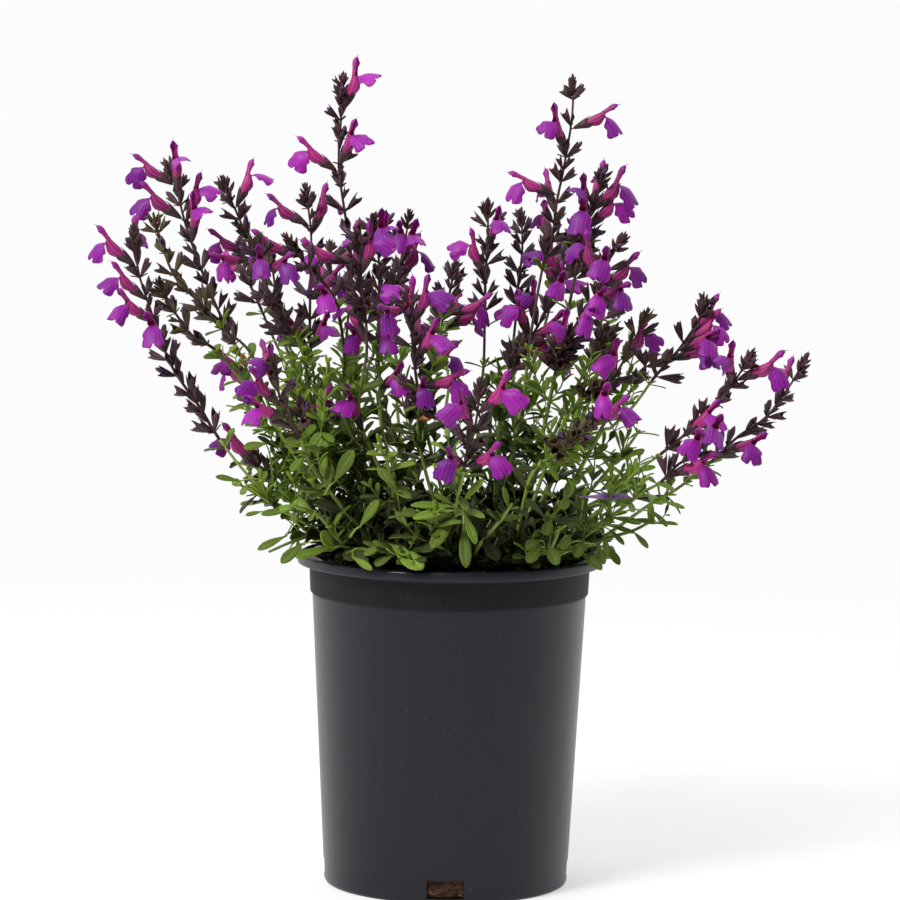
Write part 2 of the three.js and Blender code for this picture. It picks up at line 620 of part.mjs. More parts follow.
/** The calyx pairs of a spike, each turned a quarter from the one below, and the tuft at its tip. */
function growCalyces() {
  for (const { node, spike, number } of flowering) {
    const tuft = tuftShape(TUFT.length, TUFT.radius).applyMatrix4(growth(spike.at(1), spike.along(1), 0, 0));
    keep(node, `tuft ${number}`, toSolid(tuft));
    const pairs = Math.max(2, Math.round(spike.length / CALYX.spacing));
    for (let pair = 0; pair < pairs; pair += 1) {
      if (pair % CALYX.solidEvery !== 1) continue;
      const t = (pair + 0.3) / (pairs + 0.4);
      const calyces = [0, 1].map((side) => {
        const turn = 360 * draw(number, 2) + 90 * pair + 180 * side + 24 * draw(number, pair, side, 3);
        const lift = 38 + 20 * draw(number, pair, side, 4);
        const length = CALYX.length * (1 - 0.3 * t) * (0.9 + 0.2 * draw(number, pair, side, 5));
        return calyxShape(length, CALYX.radius * (1 - 0.25 * t))
          .applyMatrix4(growth(spike.at(t), spike.along(t), radians(turn), radians(lift)));
      });
      growPair(node, `spike ${number}`, calyces);
    }
  }
}

/** The leaf pairs of a shoot, smaller towards its end. */
function growLeaves() {
  for (const { clump, stem, number } of shoots) {
    const pairs = Math.max(2, Math.round(stem.length / LEAF.spacing));
    for (let pair = 0; pair < pairs; pair += 1) {
      if (pair % LEAF.solidEvery !== (pairs - 1) % LEAF.solidEvery) continue;
      const t = (pair + 0.6) / pairs;
      const place = stem.at(t);
      if (place.z < LEAF.lowest && Math.hypot(place.x, place.y) < POT.lipRadius) continue;
      const leaves = [0, 1].map((side) => {
        const turn = 360 * draw(number, 11) + 90 * pair + 180 * side + 30 * draw(number, pair, side, 12);
        const lift = 50 + 25 * draw(number, pair, side, 13);
        const reach = 0.8 + 0.35 * draw(number, pair, side, 14);
        const length = THREE.MathUtils.lerp(LEAF.longest, LEAF.shortest, t) * reach;
        const width = length * (0.36 + 0.12 * draw(number, pair, side, 15));
        return leafShape(length, width, 0.05 + 0.15 * draw(number, pair, side, 16))
          .applyMatrix4(growth(place, stem.along(t), radians(turn), radians(lift)));
      });
      growPair(clump, `stem ${number}`, leaves);
    }
  }
}

keep('pot', 'pot', buildPot());
keep('soil', 'soil', buildSoil(CLUMPS.map(({ root }) => root)));
growStems();
growBlooms();
growCalyces();
growLeaves();

// ---------- the finished plant ----------

const plant = new THREE.Group();
for (const node of new Set(grown.map((piece) => piece.node))) {
  const solids = grown.filter((piece) => piece.node === node).map((piece) => piece.solid);
  const kind = node.replace(/_\d+$/, '');
  plant.add(toMesh(node, wasm.Manifold.union(solids), FINISHES[kind]));
}

export default plant;
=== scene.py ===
"""A perennial salvia in its black nursery pot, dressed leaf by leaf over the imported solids.

Blender's objects are in metres. The plant is worked out in millimetres, with turns and lifts in degrees, and
Growing.piece() turns the millimetres into metres.
"""

import math

import bpy
import numpy as np
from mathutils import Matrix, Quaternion, Vector


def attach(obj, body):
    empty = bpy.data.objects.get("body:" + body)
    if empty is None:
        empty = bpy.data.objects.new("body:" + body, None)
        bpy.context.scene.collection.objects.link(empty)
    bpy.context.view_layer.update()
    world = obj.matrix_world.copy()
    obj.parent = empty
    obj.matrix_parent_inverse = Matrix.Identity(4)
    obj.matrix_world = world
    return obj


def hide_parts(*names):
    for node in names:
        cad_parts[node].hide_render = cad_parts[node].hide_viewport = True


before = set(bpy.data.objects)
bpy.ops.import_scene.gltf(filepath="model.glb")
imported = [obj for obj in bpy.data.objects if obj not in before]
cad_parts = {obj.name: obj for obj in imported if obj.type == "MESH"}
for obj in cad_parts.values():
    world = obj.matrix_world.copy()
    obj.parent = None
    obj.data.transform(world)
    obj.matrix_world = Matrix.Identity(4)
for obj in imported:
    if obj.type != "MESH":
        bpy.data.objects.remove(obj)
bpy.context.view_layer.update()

MM = 0.001
UP = np.array([0.0, 0.0, 1.0])

# ---------- the pot and its mix (mm) ----------

POT = {
    "height": 185, "base_radius": 68.2, "wall": 1.5, "floor": 2.2, "step_height": 163.4,
    "body_top_radius": 76.5, "collar_radius": 77.7, "collar_top_radius": 78.6,
    "lip_radius": 85, "lip_depth": 5, "lip_thickness": 1.8,
    "hole_bottom": 3, "hole_top": 13.3, "hole_count": 4,
}
POT_SIDES, MIX_SIDES = 168, 96
HOLE_REACH = 4  # how many of the pot's sides a drain hole takes to each side of its middle
SOIL = {"crown": 181, "edge": 176}
GRAINS = {"count": 420, "perlite_every": 7, "out_to": 73}
FIBRES = {"a_hole": 46, "aside": 9.6, "low": 3.8, "high": 12.6}  # how many a drain hole has, and within what

# ---------- the plant's layout, as in the solids (mm) ----------
# Each clump stands on the mix at its root (x, y) and divides into shoots. A shoot has the places of its green
# stem, the places its flower spike goes on through, and the spike's blooms: how far along the spike, 0..1,
# the turn from +X and the lift off the stem. A shoot without a spike has only its stem.

CLUMPS = [
    ((-50, -15), [
        ([(-62, -8, 184), (-83, -14, 201), (-109, -19, 226), (-128, -25, 250)],
         [(-139, -26, 268), (-152, -27, 286), (-159, -28, 301), (-167, -28, 324), (-173, -29, 343),
          (-176, -30, 369)],
         [(0.84, 80, 30), (0.84, 190, 40), (0.68, 190, 30), (0.59, 215, 40), (0.51, -90, 55)]),
        ([(-84, 10, 210), (-98, 5, 223)],
         [(-104, 3, 229), (-109, 2, 235), (-112, 0, 242)],
         [(0.49, -150, 5)]),
        ([(-101, 0, 259), (-120, -2, 284), (-132, -5, 298)],
         [(-145, -6, 306), (-153, -8, 317), (-159, -9, 326), (-163, -10, 338)],
         []),
        ([(-69, -18, 197), (-85, -22, 194), (-100, -27, 188)],),
        ([(-83, -20, 205), (-104, -25, 218), (-117, -30, 226)],),
    ]),
    ((-42, 15), [
        ([(-85, 20, 229), (-107, 28, 267), (-121, 35, 294)],
         [(-136, 38, 324), (-150, 40, 360), (-156, 42, 381), (-162, 45, 399)],
         [(0.82, 180, 40), (0.74, -60, 28), (0.57, 185, 40), (0.55, -20, 40), (0.45, -50, 40)]),
        ([(-94, 25, 245), (-112, 22, 292), (-131, 20, 309)],
         [(-141, 21, 321), (-156, 22, 336), (-164, 24, 355), (-169, 25, 372)],
         []),
        ([(-85, 25, 211), (-107, 30, 227), (-122, 35, 231)],),
    ]),
    ((-30, 32), [
        ([(-86, 50, 277), (-104, 55, 322), (-113, 60, 343)],
         [(-116, 61, 352), (-119, 62, 359), (-124, 63, 371), (-128, 64, 379), (-133, 65, 392)],
         [(0.64, 10, 50), (0.06, 190, 50), (0.03, 215, 80)]),
        ([(-79, 15, 252), (-87, 12, 287), (-92, 10, 301)],
         [(-97, 10, 312), (-100, 10, 336), (-104, 10, 359)],
         []),
    ]),
    ((-28, -8), [
        ([(-72, -5, 248), (-82, -12, 296), (-87, -20, 306)],
         [(-94, -22, 318), (-102, -25, 333), (-105, -28, 348), (-108, -30, 363)],
         [(0.64, -90, 50), (0.67, -50, 70)]),
        ([(-67, -20, 233), (-75, -30, 251)],
         [(-82, -32, 262), (-84, -35, 276)],
         [(0.42, 40, 80)]),
    ]),
    ((-36, -38), [
        ([(-74, -60, 237), (-81, -95, 259)],
         [(-89, -102, 272), (-93, -108, 288), (-96, -115, 303)],
         [(0.55, -170, 5), (0.4, 195, 25), (0.26, -135, 40)]),
        ([(-57, -50, 195), (-72, -62, 213), (-87, -75, 220)],),
        ([(-42, -66, 194), (-49, -71, 196), (-53, -76, 195)],),
    ]),
    ((-12, 14), [
        ([(-55, 8, 230), (-60, 11, 252), (-60, 15, 292), (-58, 18, 325)],
         [(-57, 19, 346), (-61, 20, 372), (-65, 20, 400), (-64, 21, 425), (-64, 22, 451)],
         [(0.83, -25, 25), (0.59, -45, 35), (0.57, 190, 50), (0.19, 195, 70)]),
        ([(-68, 30, 233), (-76, 36, 267), (-80, 42, 292)],
         [(-81, 44, 309), (-81, 46, 336), (-81, 48, 361), (-85, 50, 389)],
         [(0.78, 180, 55), (0.73, 30, 25), (0.4, -30, 55), (0.14, -120, 70)]),
    ]),
    ((-12, -14), [
        ([(-56, -5, 260), (-60, -10, 299), (-64, -15, 324)],
         [(-71, -16, 336), (-79, -18, 344), (-85, -19, 351), (-94, -20, 364)],
         [(0.73, 185, 30), (0.04, -100, 65)]),
        ([(-49, -24, 256), (-47, -34, 300), (-48, -42, 323)],
         [(-50, -46, 337), (-51, -48, 355), (-53, -50, 370)],
         [(0.4, 100, 20), (0.43, -20, 20)]),
        ([(-37, -10, 249), (-40, -12, 283), (-41, -12, 303)],
         [(-41, -10, 336), (-42, -8, 355), (-45, -6, 375)],
         [(0.55, -65, 35), (0.03, -130, 80), (0.03, -75, 80), (0.58, -80, 50)]),
    ]),
    ((0, -32), [
        ([(-17, -35, 247), (-18, -50, 275)],
         [(-21, -53, 298), (-23, -57, 320), (-26, -60, 336)],
         [(0.6, -10, 30), (0.52, 110, 5), (0.32, -40, 45), (0.1, -20, 80), (0.04, -80, 60)]),
        ([(-27, -55, 210), (-32, -68, 233), (-36, -80, 251)],),
        ([(-22, -62, 193), (-25, -69, 196), (-26, -76, 194)],),
    ]),
    ((4, 30), [
        ([(-45, 35, 267), (-44, 38, 296), (-41, 40, 312)],
         [(-37, 42, 324), (-33, 45, 333), (-29, 48, 349), (-25, 50, 375)],
         [(0.81, -100, 75), (0.66, -80, 40), (0.49, 0, 15)]),
        ([(-15, 24, 257), (-11, 20, 291), (-7, 18, 310)],
         [(-2, 17, 330), (1, 16, 348)],
         [(0.18, 0, 60)]),
    ]),
    ((12, -50), [
        ([(3, -70, 212), (7, -105, 243)],
         [(9, -112, 257), (13, -118, 271), (15, -125, 294)],
         [(0.05, -120, 45), (0.03, -30, 40), (0.55, -150, 40), (0.72, -30, 35)]),
        ([(-5, -70, 197), (-10, -80, 208), (-14, -90, 219)],),
        ([(16, -66, 198), (27, -76, 213), (33, -86, 223)],),
    ]),
    ((24, 42), [
        ([(10, 30, 252), (17, 35, 280), (18, 40, 313)],
         [(18, 42, 339), (19, 43, 356), (19, 45, 382)],
         [(0.61, -70, 35), (0.3, 180, 25)]),
        ([(30, 45, 267), (34, 50, 296), (36, 55, 317)],
         [(37, 58, 334), (39, 62, 352), (38, 65, 376)],
         []),
        ([(22, 40, 256), (26, 42, 273), (27, 45, 287)],),
    ]),
    ((24, 14), [
        ([(38, 10, 260), (44, 12, 310), (50, 15, 346)],
         [(55, 16, 362), (57, 17, 381), (61, 18, 402), (65, 19, 430), (65, 20, 452)],
         [(0.65, -130, 45), (0.74, 0, 60), (0.44, 180, 80), (0.33, 120, 35)]),
        ([(27, 25, 258), (34, 30, 289), (40, 35, 298)],
         [(45, 36, 305), (55, 38, 323), (64, 39, 337), (77, 40, 356)],
         [(0.32, -140, 50), (0.2, -150, 60), (0.7, -170, 60), (0.41, -100, 5)]),
    ]),
    ((38, -8), [
        ([(60, 0, 300), (67, -2, 339), (71, -5, 359)],
         [(73, -7, 372), (79, -8, 388), (84, -10, 403)],
         [(0.43, 100, 20), (0.43, -10, 25), (0.31, -130, 30), (0.19, 10, 40), (0.19, -100, 50)]),
        ([(54, -20, 274), (57, -28, 291), (61, -35, 304)],
         [(68, -38, 318), (76, -41, 330), (81, -44, 342), (86, -47, 356), (94, -50, 367)],
         [(0.56, 150, 50), (0.58, -105, 45), (0.33, -90, 50), (0.43, -55, 50), (0.49, 10, 30),
          (0.21, -85, 60)]),
        ([(77, 10, 271), (80, 12, 291), (83, 15, 300)],
         [(85, 15, 307), (87, 15, 315)],
         []),
        ([(60, -12, 240), (67, -16, 262), (75, -20, 288)],),
    ]),
    ((34, -36), [
        ([(43, -60, 234), (53, -72, 247), (61, -85, 255)],
         [(66, -90, 261), (74, -95, 266), (79, -100, 280)],
         [(0.66, -10, 15), (0.86, -90, 40)]),
        ([(60, -20, 257), (71, -25, 274), (79, -30, 280)],
         [(88, -32, 287), (98, -33, 305), (107, -35, 326)],
         [(0.32, -130, 55), (0.48, 0, 5)]),
        ([(54, -55, 211), (65, -65, 229), (72, -75, 240)],),
        ([(52, -60, 194), (57, -69, 202), (59, -78, 210)],),
    ]),
    ((50, 14), [
        ([(80, -10, 250), (89, -8, 258), (101, -7, 270), (111, -5, 284)],
         [(116, -4, 290), (127, -2, 303), (137, -1, 319), (141, 0, 331)],
         [(0.58, 0, 10), (0.5, -20, 20), (0.45, -60, 50), (0.36, -40, 40)]),
        ([(84, 20, 254), (94, 25, 267), (101, 30, 275)],
         [(106, 32, 283), (110, 33, 292), (114, 35, 301)],
         []),
        ([(84, 16, 226), (98, 18, 243), (106, 20, 254)],),
    ]),
    ((56, -26), [
        ([(69, -25, 202), (87, -28, 218), (101, -32, 235), (115, -35, 246)],
         [(128, -36, 257), (139, -37, 268), (149, -38, 279), (157, -39, 291), (165, -40, 305)],
         [(0.69, -140, 50), (0.74, -20, 35), (0.16, -100, 15)]),
        ([(93, -50, 217), (104, -58, 227), (114, -65, 234)],
         [(123, -68, 244), (133, -72, 251), (140, -75, 265)],
         [(0.65, -120, 60), (0.12, -35, 30), (0.7, -100, 35)]),
        ([(78, -30, 189), (86, -32, 189), (93, -34, 186)],),
        ([(83, -36, 198), (100, -40, 204), (112, -44, 211)],),
    ]),
    ((64, 2), [
        ([(87, 10, 195), (111, 13, 212), (127, 17, 221), (146, 20, 236)],
         [(153, 21, 243), (163, 22, 252), (176, 22, 261), (184, 23, 271), (192, 24, 283), (200, 25, 298)],
         [(0.61, 150, 20), (0.17, -60, 55)]),
        ([(90, 20, 203), (102, 30, 213), (113, 40, 214)],),
    ]),
    ((-16, 54), [
        ([(-70, 70, 241), (-97, 85, 285), (-111, 100, 313)],
         [(-118, 108, 327), (-123, 117, 340), (-125, 125, 354)],
         [(0.49, 120, 35), (0.43, 40, 35)]),
        ([(-53, 80, 246), (-62, 95, 291), (-69, 110, 319)],
         [(-71, 118, 330), (-72, 127, 340), (-73, 135, 352)],
         [(0.63, 60, 45), (0.24, 120, 30)]),
        ([(-30, 90, 245), (-33, 105, 285), (-37, 120, 307)],
         [(-37, 128, 318), (-36, 137, 326), (-35, 145, 339)],
         [(0.2, 50, 25)]),
        ([(-58, 100, 191), (-65, 112, 207), (-66, 125, 221)],),
        ([(-18, 110, 190), (-18, 125, 206), (-21, 140, 217)],),
    ]),
    ((32, 62), [
        ([(39, 80, 253), (51, 95, 298), (59, 110, 326)],
         [(63, 117, 338), (68, 123, 349), (71, 130, 363)],
         [(0.6, 60, 45), (0.38, 110, 45)]),
        ([(63, 90, 252), (80, 105, 286), (86, 120, 305)],
         [(89, 130, 314), (90, 140, 322), (91, 150, 335)],
         [(0.62, 70, 45)]),
        ([(-1, 100, 239), (-2, 115, 272), (-6, 130, 295)],
         [(-8, 138, 303), (-8, 147, 311), (-7, 155, 324)],
         [(0.47, 30, 30)]),
        ([(37, 84, 198), (44, 112, 212), (52, 136, 229)],),
        ([(87, 85, 207), (98, 95, 217), (110, 105, 222)],),
    ]),
]

# Further flowers by spike number, which the solids leave out: the part of the shoot, then as for the blooms.
MORE_BLOOMS = {
    4: [("stem", 0.82, -120, 55), ("stem", 0.66, -100, 60), ("stem", 0.72, 140, 30)],
    10: [("spike", 0.7, 100, 70)],
    12: [("spike", 0.05, -60, 60)],
    14: [("stem", 0.32, -100, 12), ("stem", 0.72, 120, 50)],
    15: [("stem", 0.6, -60, 60)],
    16: [("spike", 0.8, -120, 80), ("spike", 0.45, 80, 70), ("spike", 0.2, 20, 70)],
    18: [("spike", 0.02, 40, 70)],
    22: [("spike", 0.15, 120, 50)],
    23: [("stem", 0.72, 0, 40), ("spike", 0.1, -60, 30), ("spike", 0.1, 20, 60), ("spike", 0.6, 180, 50),
         ("spike", 0.58, -100, 70)],
    25: [("stem", 0.78, 160, 10)],
}

# Withered parts: a dried calyx has its spike number, then as above.
DRIED_CALYCES = [(4, "stem", 0.87, -80, 60), (16, "stem", 0.75, -40, 40)]
FALLEN_PETAL = {
    "foot": (70, -58, 224.5), "forward": (1, 0, 0), "upper": (0, -0.8, 0.6), "length": 28.5, "width": 4.2,
}

# Single leaves that stand out near the rim: where the petioles of a set start, then each leaf's foot, tip,
# full width and youth 0..1.
RIM_LEAVES = [
    ((7, -78, 216), [
        ((4, -78, 220), (-20, -92, 224), 4.8, 0.8), ((4, -80, 219), (-19, -97, 218), 6.2, 0.9),
        ((6, -80, 223), (17, -92, 237), 5.8, 0.9), ((6, -80, 220), (18, -97, 218), 4.5, 0.8),
        ((7, -82, 218), (14, -99, 204), 5.6, 0.6), ((3, -80, 216), (-10, -96, 201), 7.5, 0.35),
        ((3, -76, 217), (-13, -80, 212), 4.8, 0.2), ((7, -80, 212), (9, -97, 191), 7.0, 0.15),
        ((2, -76, 221), (-8, -84, 228), 4.0, 0.5),
    ]),
    ((-50, -50, 192), [
        ((-64, -60, 195), (-83, -72, 192), 5.9, 0.55), ((-80, -48, 196), (-92, -55, 186), 6.5, 0.2),
        ((-63, -66, 195), (-69, -74, 205), 9.1, 0.6), ((-53, -80, 193), (-42, -92, 188), 4.3, 0.7),
    ]),
    ((-54, -76, 203), [((-49, -84, 209), (-39, -92, 225), 7.0, 0.3)]),
    ((-68, -76, 226), [((-63, -84, 233), (-53, -90, 251), 7.5, 0.25)]),
    ((-30, -58, 188), [
        ((-31, -76, 197), (-15, -92, 190), 10.8, 1.0), ((-33, -78, 200), (-22, -86, 195), 5.4, 0.6),
        ((-36, -78, 199), (-46, -84, 195), 4.3, 0.4),
    ]),
    ((54, -50, 188), [
        ((71, -62, 195), (82, -76, 188), 6.5, 0.1), ((53, -76, 201), (58, -86, 191), 6.5, 0.2),
        ((49, -78, 199), (42, -88, 193), 7.0, 0.1), ((73, -66, 202), (68, -76, 194), 5.9, 0.2),
        ((80, -52, 199), (84, -62, 189), 4.8, 0.1), ((86, -42, 196), (93, -50, 187), 4.8, 0.2),
        ((66, -72, 206), (60, -80, 199), 5.4, 0.2), ((49, -76, 203), (41, -80, 199), 6.5, 0.15),
        ((55, -76, 214), (51, -84, 207), 5.9, 0.2),
    ]),
    ((78, -40, 206), [
        ((100, -50, 205), (108, -58, 197.5), 3.6, 0.3), ((88, -46, 207), (100, -54, 205.5), 3.2, 0.3),
        ((87, -46, 205.5), (95, -56, 199.5), 3.4, 0.3), ((98, -44, 211), (113, -50, 210.5), 3.8, 0.3),
        ((110, -42, 216), (119, -48, 208.5), 3.4, 0.3), ((84, -52, 203), (86, -60, 192.5), 4.4, 0.25),
    ]),
    ((-84, -34, 208), [
        ((-87, -42, 213), (-103, -48, 212.5), 4.6, 0.3), ((-89, -44, 199.5), (-105, -50, 192.5), 4.9, 0.3),
        ((-103, -40, 212), (-112, -44, 210.5), 2.9, 0.4),
    ]),
    ((-98, -24, 226), [
        ((-116, -28, 227), (-129, -32, 230.5), 4.0, 0.3), ((-101, -34, 249), (-113.5, -40, 247.5), 6.0, 0.4),
    ]),
]

# By spike number, from where along the green stem it has whorls of calyces or nothing, instead of leaves.
LOW_WHORLS = {14: 0.82, 16: 0.7, 23: 0.5, 24: 0.6, 25: 0.6, 26: 0.6, 27: 0.75, 28: 0.7}
BARE_STEMS = {22: 0.72}
OLIVE_SPIKES = (3, 5, 7, 10, 27, 28)  # the spikes whose calyces are still greenish
CROWDED_SPIKES = 9  # the spikes numbered below this have the most extra calyces

TRUNK = ((-20, 2.2), (-3, 2.25), (3, 2.1), (7, 1.9), (9, 1.6))  # a clump's foot: height over the mix, radius
TRUNK_TOP = TRUNK[-1][0]
STEM_RADII = (1.25, 0.75)  # at the foot and at the end of a green stem
SPIKE_RADII = (0.95, 0.55)  # at the foot and at the tip of a flower spike
LEAF = {"spacing": 15, "longest": 23, "shortest": 12, "thickness": 0.55, "solid_every": 6}
TWIG = {"leaf_spacing": 6.5, "a_foot": 7, "zone_from": 222, "zone_to": 272, "zone_share": 0.17}
CALYX = {"spacing": 13, "length": 15.4, "radius": 2.25, "open_length": 14.2, "open_radius": 2.55}
SMALL_CALYX = {"columns": 10, "rows": 5}
RIGHT_SIDE = 60  # further right than this the stems are barer than elsewhere
# What leaves and twigs stay clear of: the pot's wall and lip, the mix, and low down outside the lip.
CLEAR = {"wall_from": 74, "wall_to": 87, "over_lip": 0.6, "mix_to": 76, "low": 206, "outside": 95}
# The rings of young buds at a spike's tip: how far back from it they start, their length and lift.
TUFT_RINGS = ((11.5, 8, 44), (9.5, 7.5, 38), (7.8, 6.8, 34), (6.2, 6, 28), (5, 5.4, 20), (4.2, 5, 8))
# Where the seeds of the random draws start, for each thing that draws its own.
SEED = {"mix": 11, "rim_leaves": 21, "clump_foot": 60, "shoot": 100, "spike": 500, "flower": 7000}


# ---------- helpers ----------


def draw(*keys):
    """A repeatable random number 0..1 for a list of whole-number keys, the same as in the solids."""
    h = 2166136261
    for key in keys:
        h = ((h ^ (key + 1)) * 16777619) & 0xFFFFFFFF
        h ^= h >> 13
        h = (h * 1540483477) & 0xFFFFFFFF
        h ^= h >> 15
    return h / 4294967296


def unit(vector):
    return vector / np.linalg.norm(vector)


def mixed(a, b, share):
    return a + (b - a) * share


def ramp(value, start, end):
    """How far a value is on its way from start to end, 0..1."""
    return np.clip((value - start) / (end - start), 0, 1)


def from_axis(place):
    return math.hypot(place[0], place[1])


class Course:
    """A smooth curve through places, read from one of its parameters to another as t goes from 0 to 1."""

    NEAR = 0.0001

    def __init__(self, places, start=0.0, end=1.0):
        self.places = np.array(places, float)
        self.start, self.end = start, end
        self.length = np.linalg.norm(np.diff(self.line(41), axis=0), axis=1).sum()

    def on_curve(self, reach):
        places, last = self.places, len(self.places) - 1
        reach = min(max(reach, 0.0), 1.0) * last
        k = min(int(reach), last - 1)
        w = reach - k
        before = places[k - 1] if k > 0 else 2 * places[0] - places[1]
        after = places[k + 2] if k + 2 <= last else 2 * places[last] - places[last - 1]
        enter, leave = (places[k + 1] - before) / 2, (after - places[k]) / 2
        rise = places[k + 1] - places[k]
        bend = 3 * rise - 2 * enter - leave + w * (enter + leave - 2 * rise)
        return places[k] + w * (enter + w * bend)

    def at(self, t):
        return self.on_curve(mixed(self.start, self.end, t))

    def along(self, t):
        spot = mixed(self.start, self.end, t)
        return unit(self.on_curve(min(spot + self.NEAR, 1)) - self.on_curve(max(spot - self.NEAR, 0)))

    def line(self, count):
        return np.array([self.at(t) for t in np.linspace(0, 1, count)])

    def spot(self, t, turn, lift):
        return growth(self.at(t), self.along(t), turn, lift)


def growth(place, along, turn, lift):
    """Where something grows from a stem: its root, and its forward, left and upper directions as columns."""
    turn, lift = math.radians(turn), math.radians(lift)
    aside = np.array([math.cos(turn), math.sin(turn), 0.0])
    aside = unit(aside - along * aside.dot(along))
    return facing(place, along * math.cos(lift) + aside * math.sin(lift), along + 0.6 * UP)


def facing(place, forward, upper):
    """A place with its axes: forward, and the direction square to it that is nearest to upper."""
    upper = unit(upper - forward * upper.dot(forward))
    return place, np.stack([forward, np.cross(upper, forward), upper], axis=1)


# ---------- meshes ----------


class Growing:
    """The points, faces and surface marks of one piece while it is put together.

    Every point carries two marks for the finishes: growth (along 0..1, across -1..1, tone 0..1) and
    part (0 on the upper side and 1 underneath, kind 0..1, spare 0..1).
    """

    def __init__(self):
        self.points, self.faces, self.growth, self.part = [], [], [], []
        self.count = 0

    def add(self, spot, *shapes):
        """Puts shapes in at a spot, which is a place and its axes; None leaves them where they are."""
        for points, faces, marks, part in shapes:
            if spot is not None:
                place, axes = spot
                points = points @ axes.T + place
            self.points.append(points)
            self.faces += [chunk + self.count for chunk in faces]
            self.growth.append(marks)
            self.part.append(part)
            self.count += len(points)

    def piece(self, name, finish, slot, node):
        """The finished mesh piece, in metres, riding on the root body in the place of the named node."""
        mesh = bpy.data.meshes.new(name)
        corners = np.concatenate([chunk.ravel() for chunk in self.faces])
        sizes = np.concatenate([np.full(len(chunk), chunk.shape[1]) for chunk in self.faces])
        mesh.vertices.add(self.count)
        mesh.vertices.foreach_set("co", (np.concatenate(self.points) * MM).astype(np.float32).ravel())
        mesh.loops.add(len(corners))
        mesh.loops.foreach_set("vertex_index", corners.astype(np.int32))
        mesh.polygons.add(len(sizes))
        mesh.polygons.foreach_set("loop_start", np.concatenate([[0], np.cumsum(sizes)[:-1]]).astype(np.int32))
        mesh.polygons.foreach_set("use_smooth", np.ones(len(sizes), bool))
        for mark, rows in (("growth", self.growth), ("part", self.part)):
            values = np.concatenate(rows).astype(np.float32).ravel()
            mesh.attributes.new(mark, "FLOAT_VECTOR", "POINT").data.foreach_set("vector", values)
        mesh.update(calc_edges=True)
        mesh.validate()
        mesh.materials.append(finish)
        made = bpy.data.objects.new(name, mesh)
        bpy.context.scene.collection.objects.link(made)
        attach(made, "root")
        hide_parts(node)
        return made


def marks_of(along, across, tone, side=0.0, kind=0.0, spare=0.0):
    """The two marks of a set of points; each value is a number or an array."""
    values = [value.ravel() for value in np.broadcast_arrays(along, across, tone, side, kind, spare)]
    return np.stack(values[:3], 1), np.stack(values[3:], 1)


def strips(rows, columns, wrapped):
    """The quads of a grid of points; wrapped joins its last column to its first."""
    r, c = np.meshgrid(np.arange(rows - 1), np.arange(columns if wrapped else columns - 1), indexing="ij")
    nxt = (c + 1) % columns
    quads = [r * columns + c, (r + 1) * columns + c, (r + 1) * columns + nxt, r * columns + nxt]
    return np.stack(quads, -1).reshape(-1, 4)


def blade(sheet, thickness, along, across, tone, kind=0.0, spare=0.0, wrapped=False):
    """A thin closed body on a grid of points (rows along it, columns across it), its upper side first."""
    rows, columns = sheet.shape[:2]
    if wrapped:
        sideways = np.roll(sheet, -1, 1) - np.roll(sheet, 1, 1)
    else:
        sideways = np.gradient(sheet, axis=1)
    normal = np.cross(np.gradient(sheet, axis=0), sideways)
    normal /= np.maximum(np.linalg.norm(normal, axis=-1, keepdims=True), 1e-9)
    size = rows * columns
    half = normal * thickness / 2
    points = np.concatenate([(sheet + half).reshape(-1, 3), (sheet - half).reshape(-1, 3)])
    upper = strips(rows, columns, wrapped)
    grid = np.arange(size).reshape(rows, columns)
    if wrapped:
        edges = [np.append(grid[-1], grid[-1, 0]), np.append(grid[0], grid[0, 0])[::-1]]
    else:
        edges = [np.concatenate([grid[:, 0], grid[-1, 1:], grid[-2::-1, -1], grid[0, -2::-1]])]
    rim = [np.stack([edge[1:], edge[:-1], edge[:-1] + size, edge[1:] + size], 1) for edge in edges]
    values = [np.broadcast_to(value, (rows, columns)) for value in (along, across, tone, kind, spare)]
    along, across, tone, kind, spare = [np.tile(value.ravel(), 2) for value in values]
    side = np.repeat([0.0, 1.0], size)
    return (points, [upper, upper[:, ::-1] + size, *rim], *marks_of(along, across, tone, side, kind, spare))


def tube(line, radii, sides, tone, kind=0.0, spare=0.0):
    """A closed tube along a line of points."""
    line = np.array(line, float)
    count = len(line)
    ahead = np.gradient(line, axis=0)
    ahead /= np.linalg.norm(ahead, axis=1, keepdims=True)
    across = np.cross(ahead[0], [0.3, 1.0, 0.1])
    angle = np.arange(sides)[:, None] * 2 * math.pi / sides
    rings = []
    for place, direction, radius in zip(line, ahead, np.broadcast_to(radii, count)):
        across = unit(across - direction * across.dot(direction))
        over = np.cross(direction, across)
        rings.append(place + radius * (np.cos(angle) * across + np.sin(angle) * over))
    quads = strips(count, sides, True)[:, ::-1]
    first = np.arange(sides)[None, ::-1]
    last = np.arange(sides)[None] + (count - 1) * sides
    along = np.repeat(np.linspace(0, 1, count), sides)
    around = np.tile(np.linspace(-1, 1, sides, endpoint=False), count)
    if np.ndim(kind):
        kind = np.repeat(kind, sides)
    return np.concatenate(rings), [quads, first, last], *marks_of(along, around, tone, 0.0, kind, spare)


# ---------- what grows on the stems (mm) ----------
# Each shape has its root at the origin, forward along +X, its left along +Y and its upper side +Z.

# Where the rows of points of a leaf are along it, by how many it has.
LEAF_ROWS = {7: (0.0, 0.17, 0.36, 0.56, 0.76, 0.92, 1.0), 6: (0.0, 0.2, 0.44, 0.68, 0.9, 1.0),
             5: (0.0, 0.3, 0.62, 0.88, 1.0)}
# A leaf's half width along its length, as a share of its full half width.
LEAF_OUTLINE = ((0, 0.1), (0.12, 0.15), (0.25, 0.42), (0.4, 0.72), (0.56, 0.93), (0.7, 1.0), (0.82, 0.9),
                (0.92, 0.62), (1.0, 0.16))
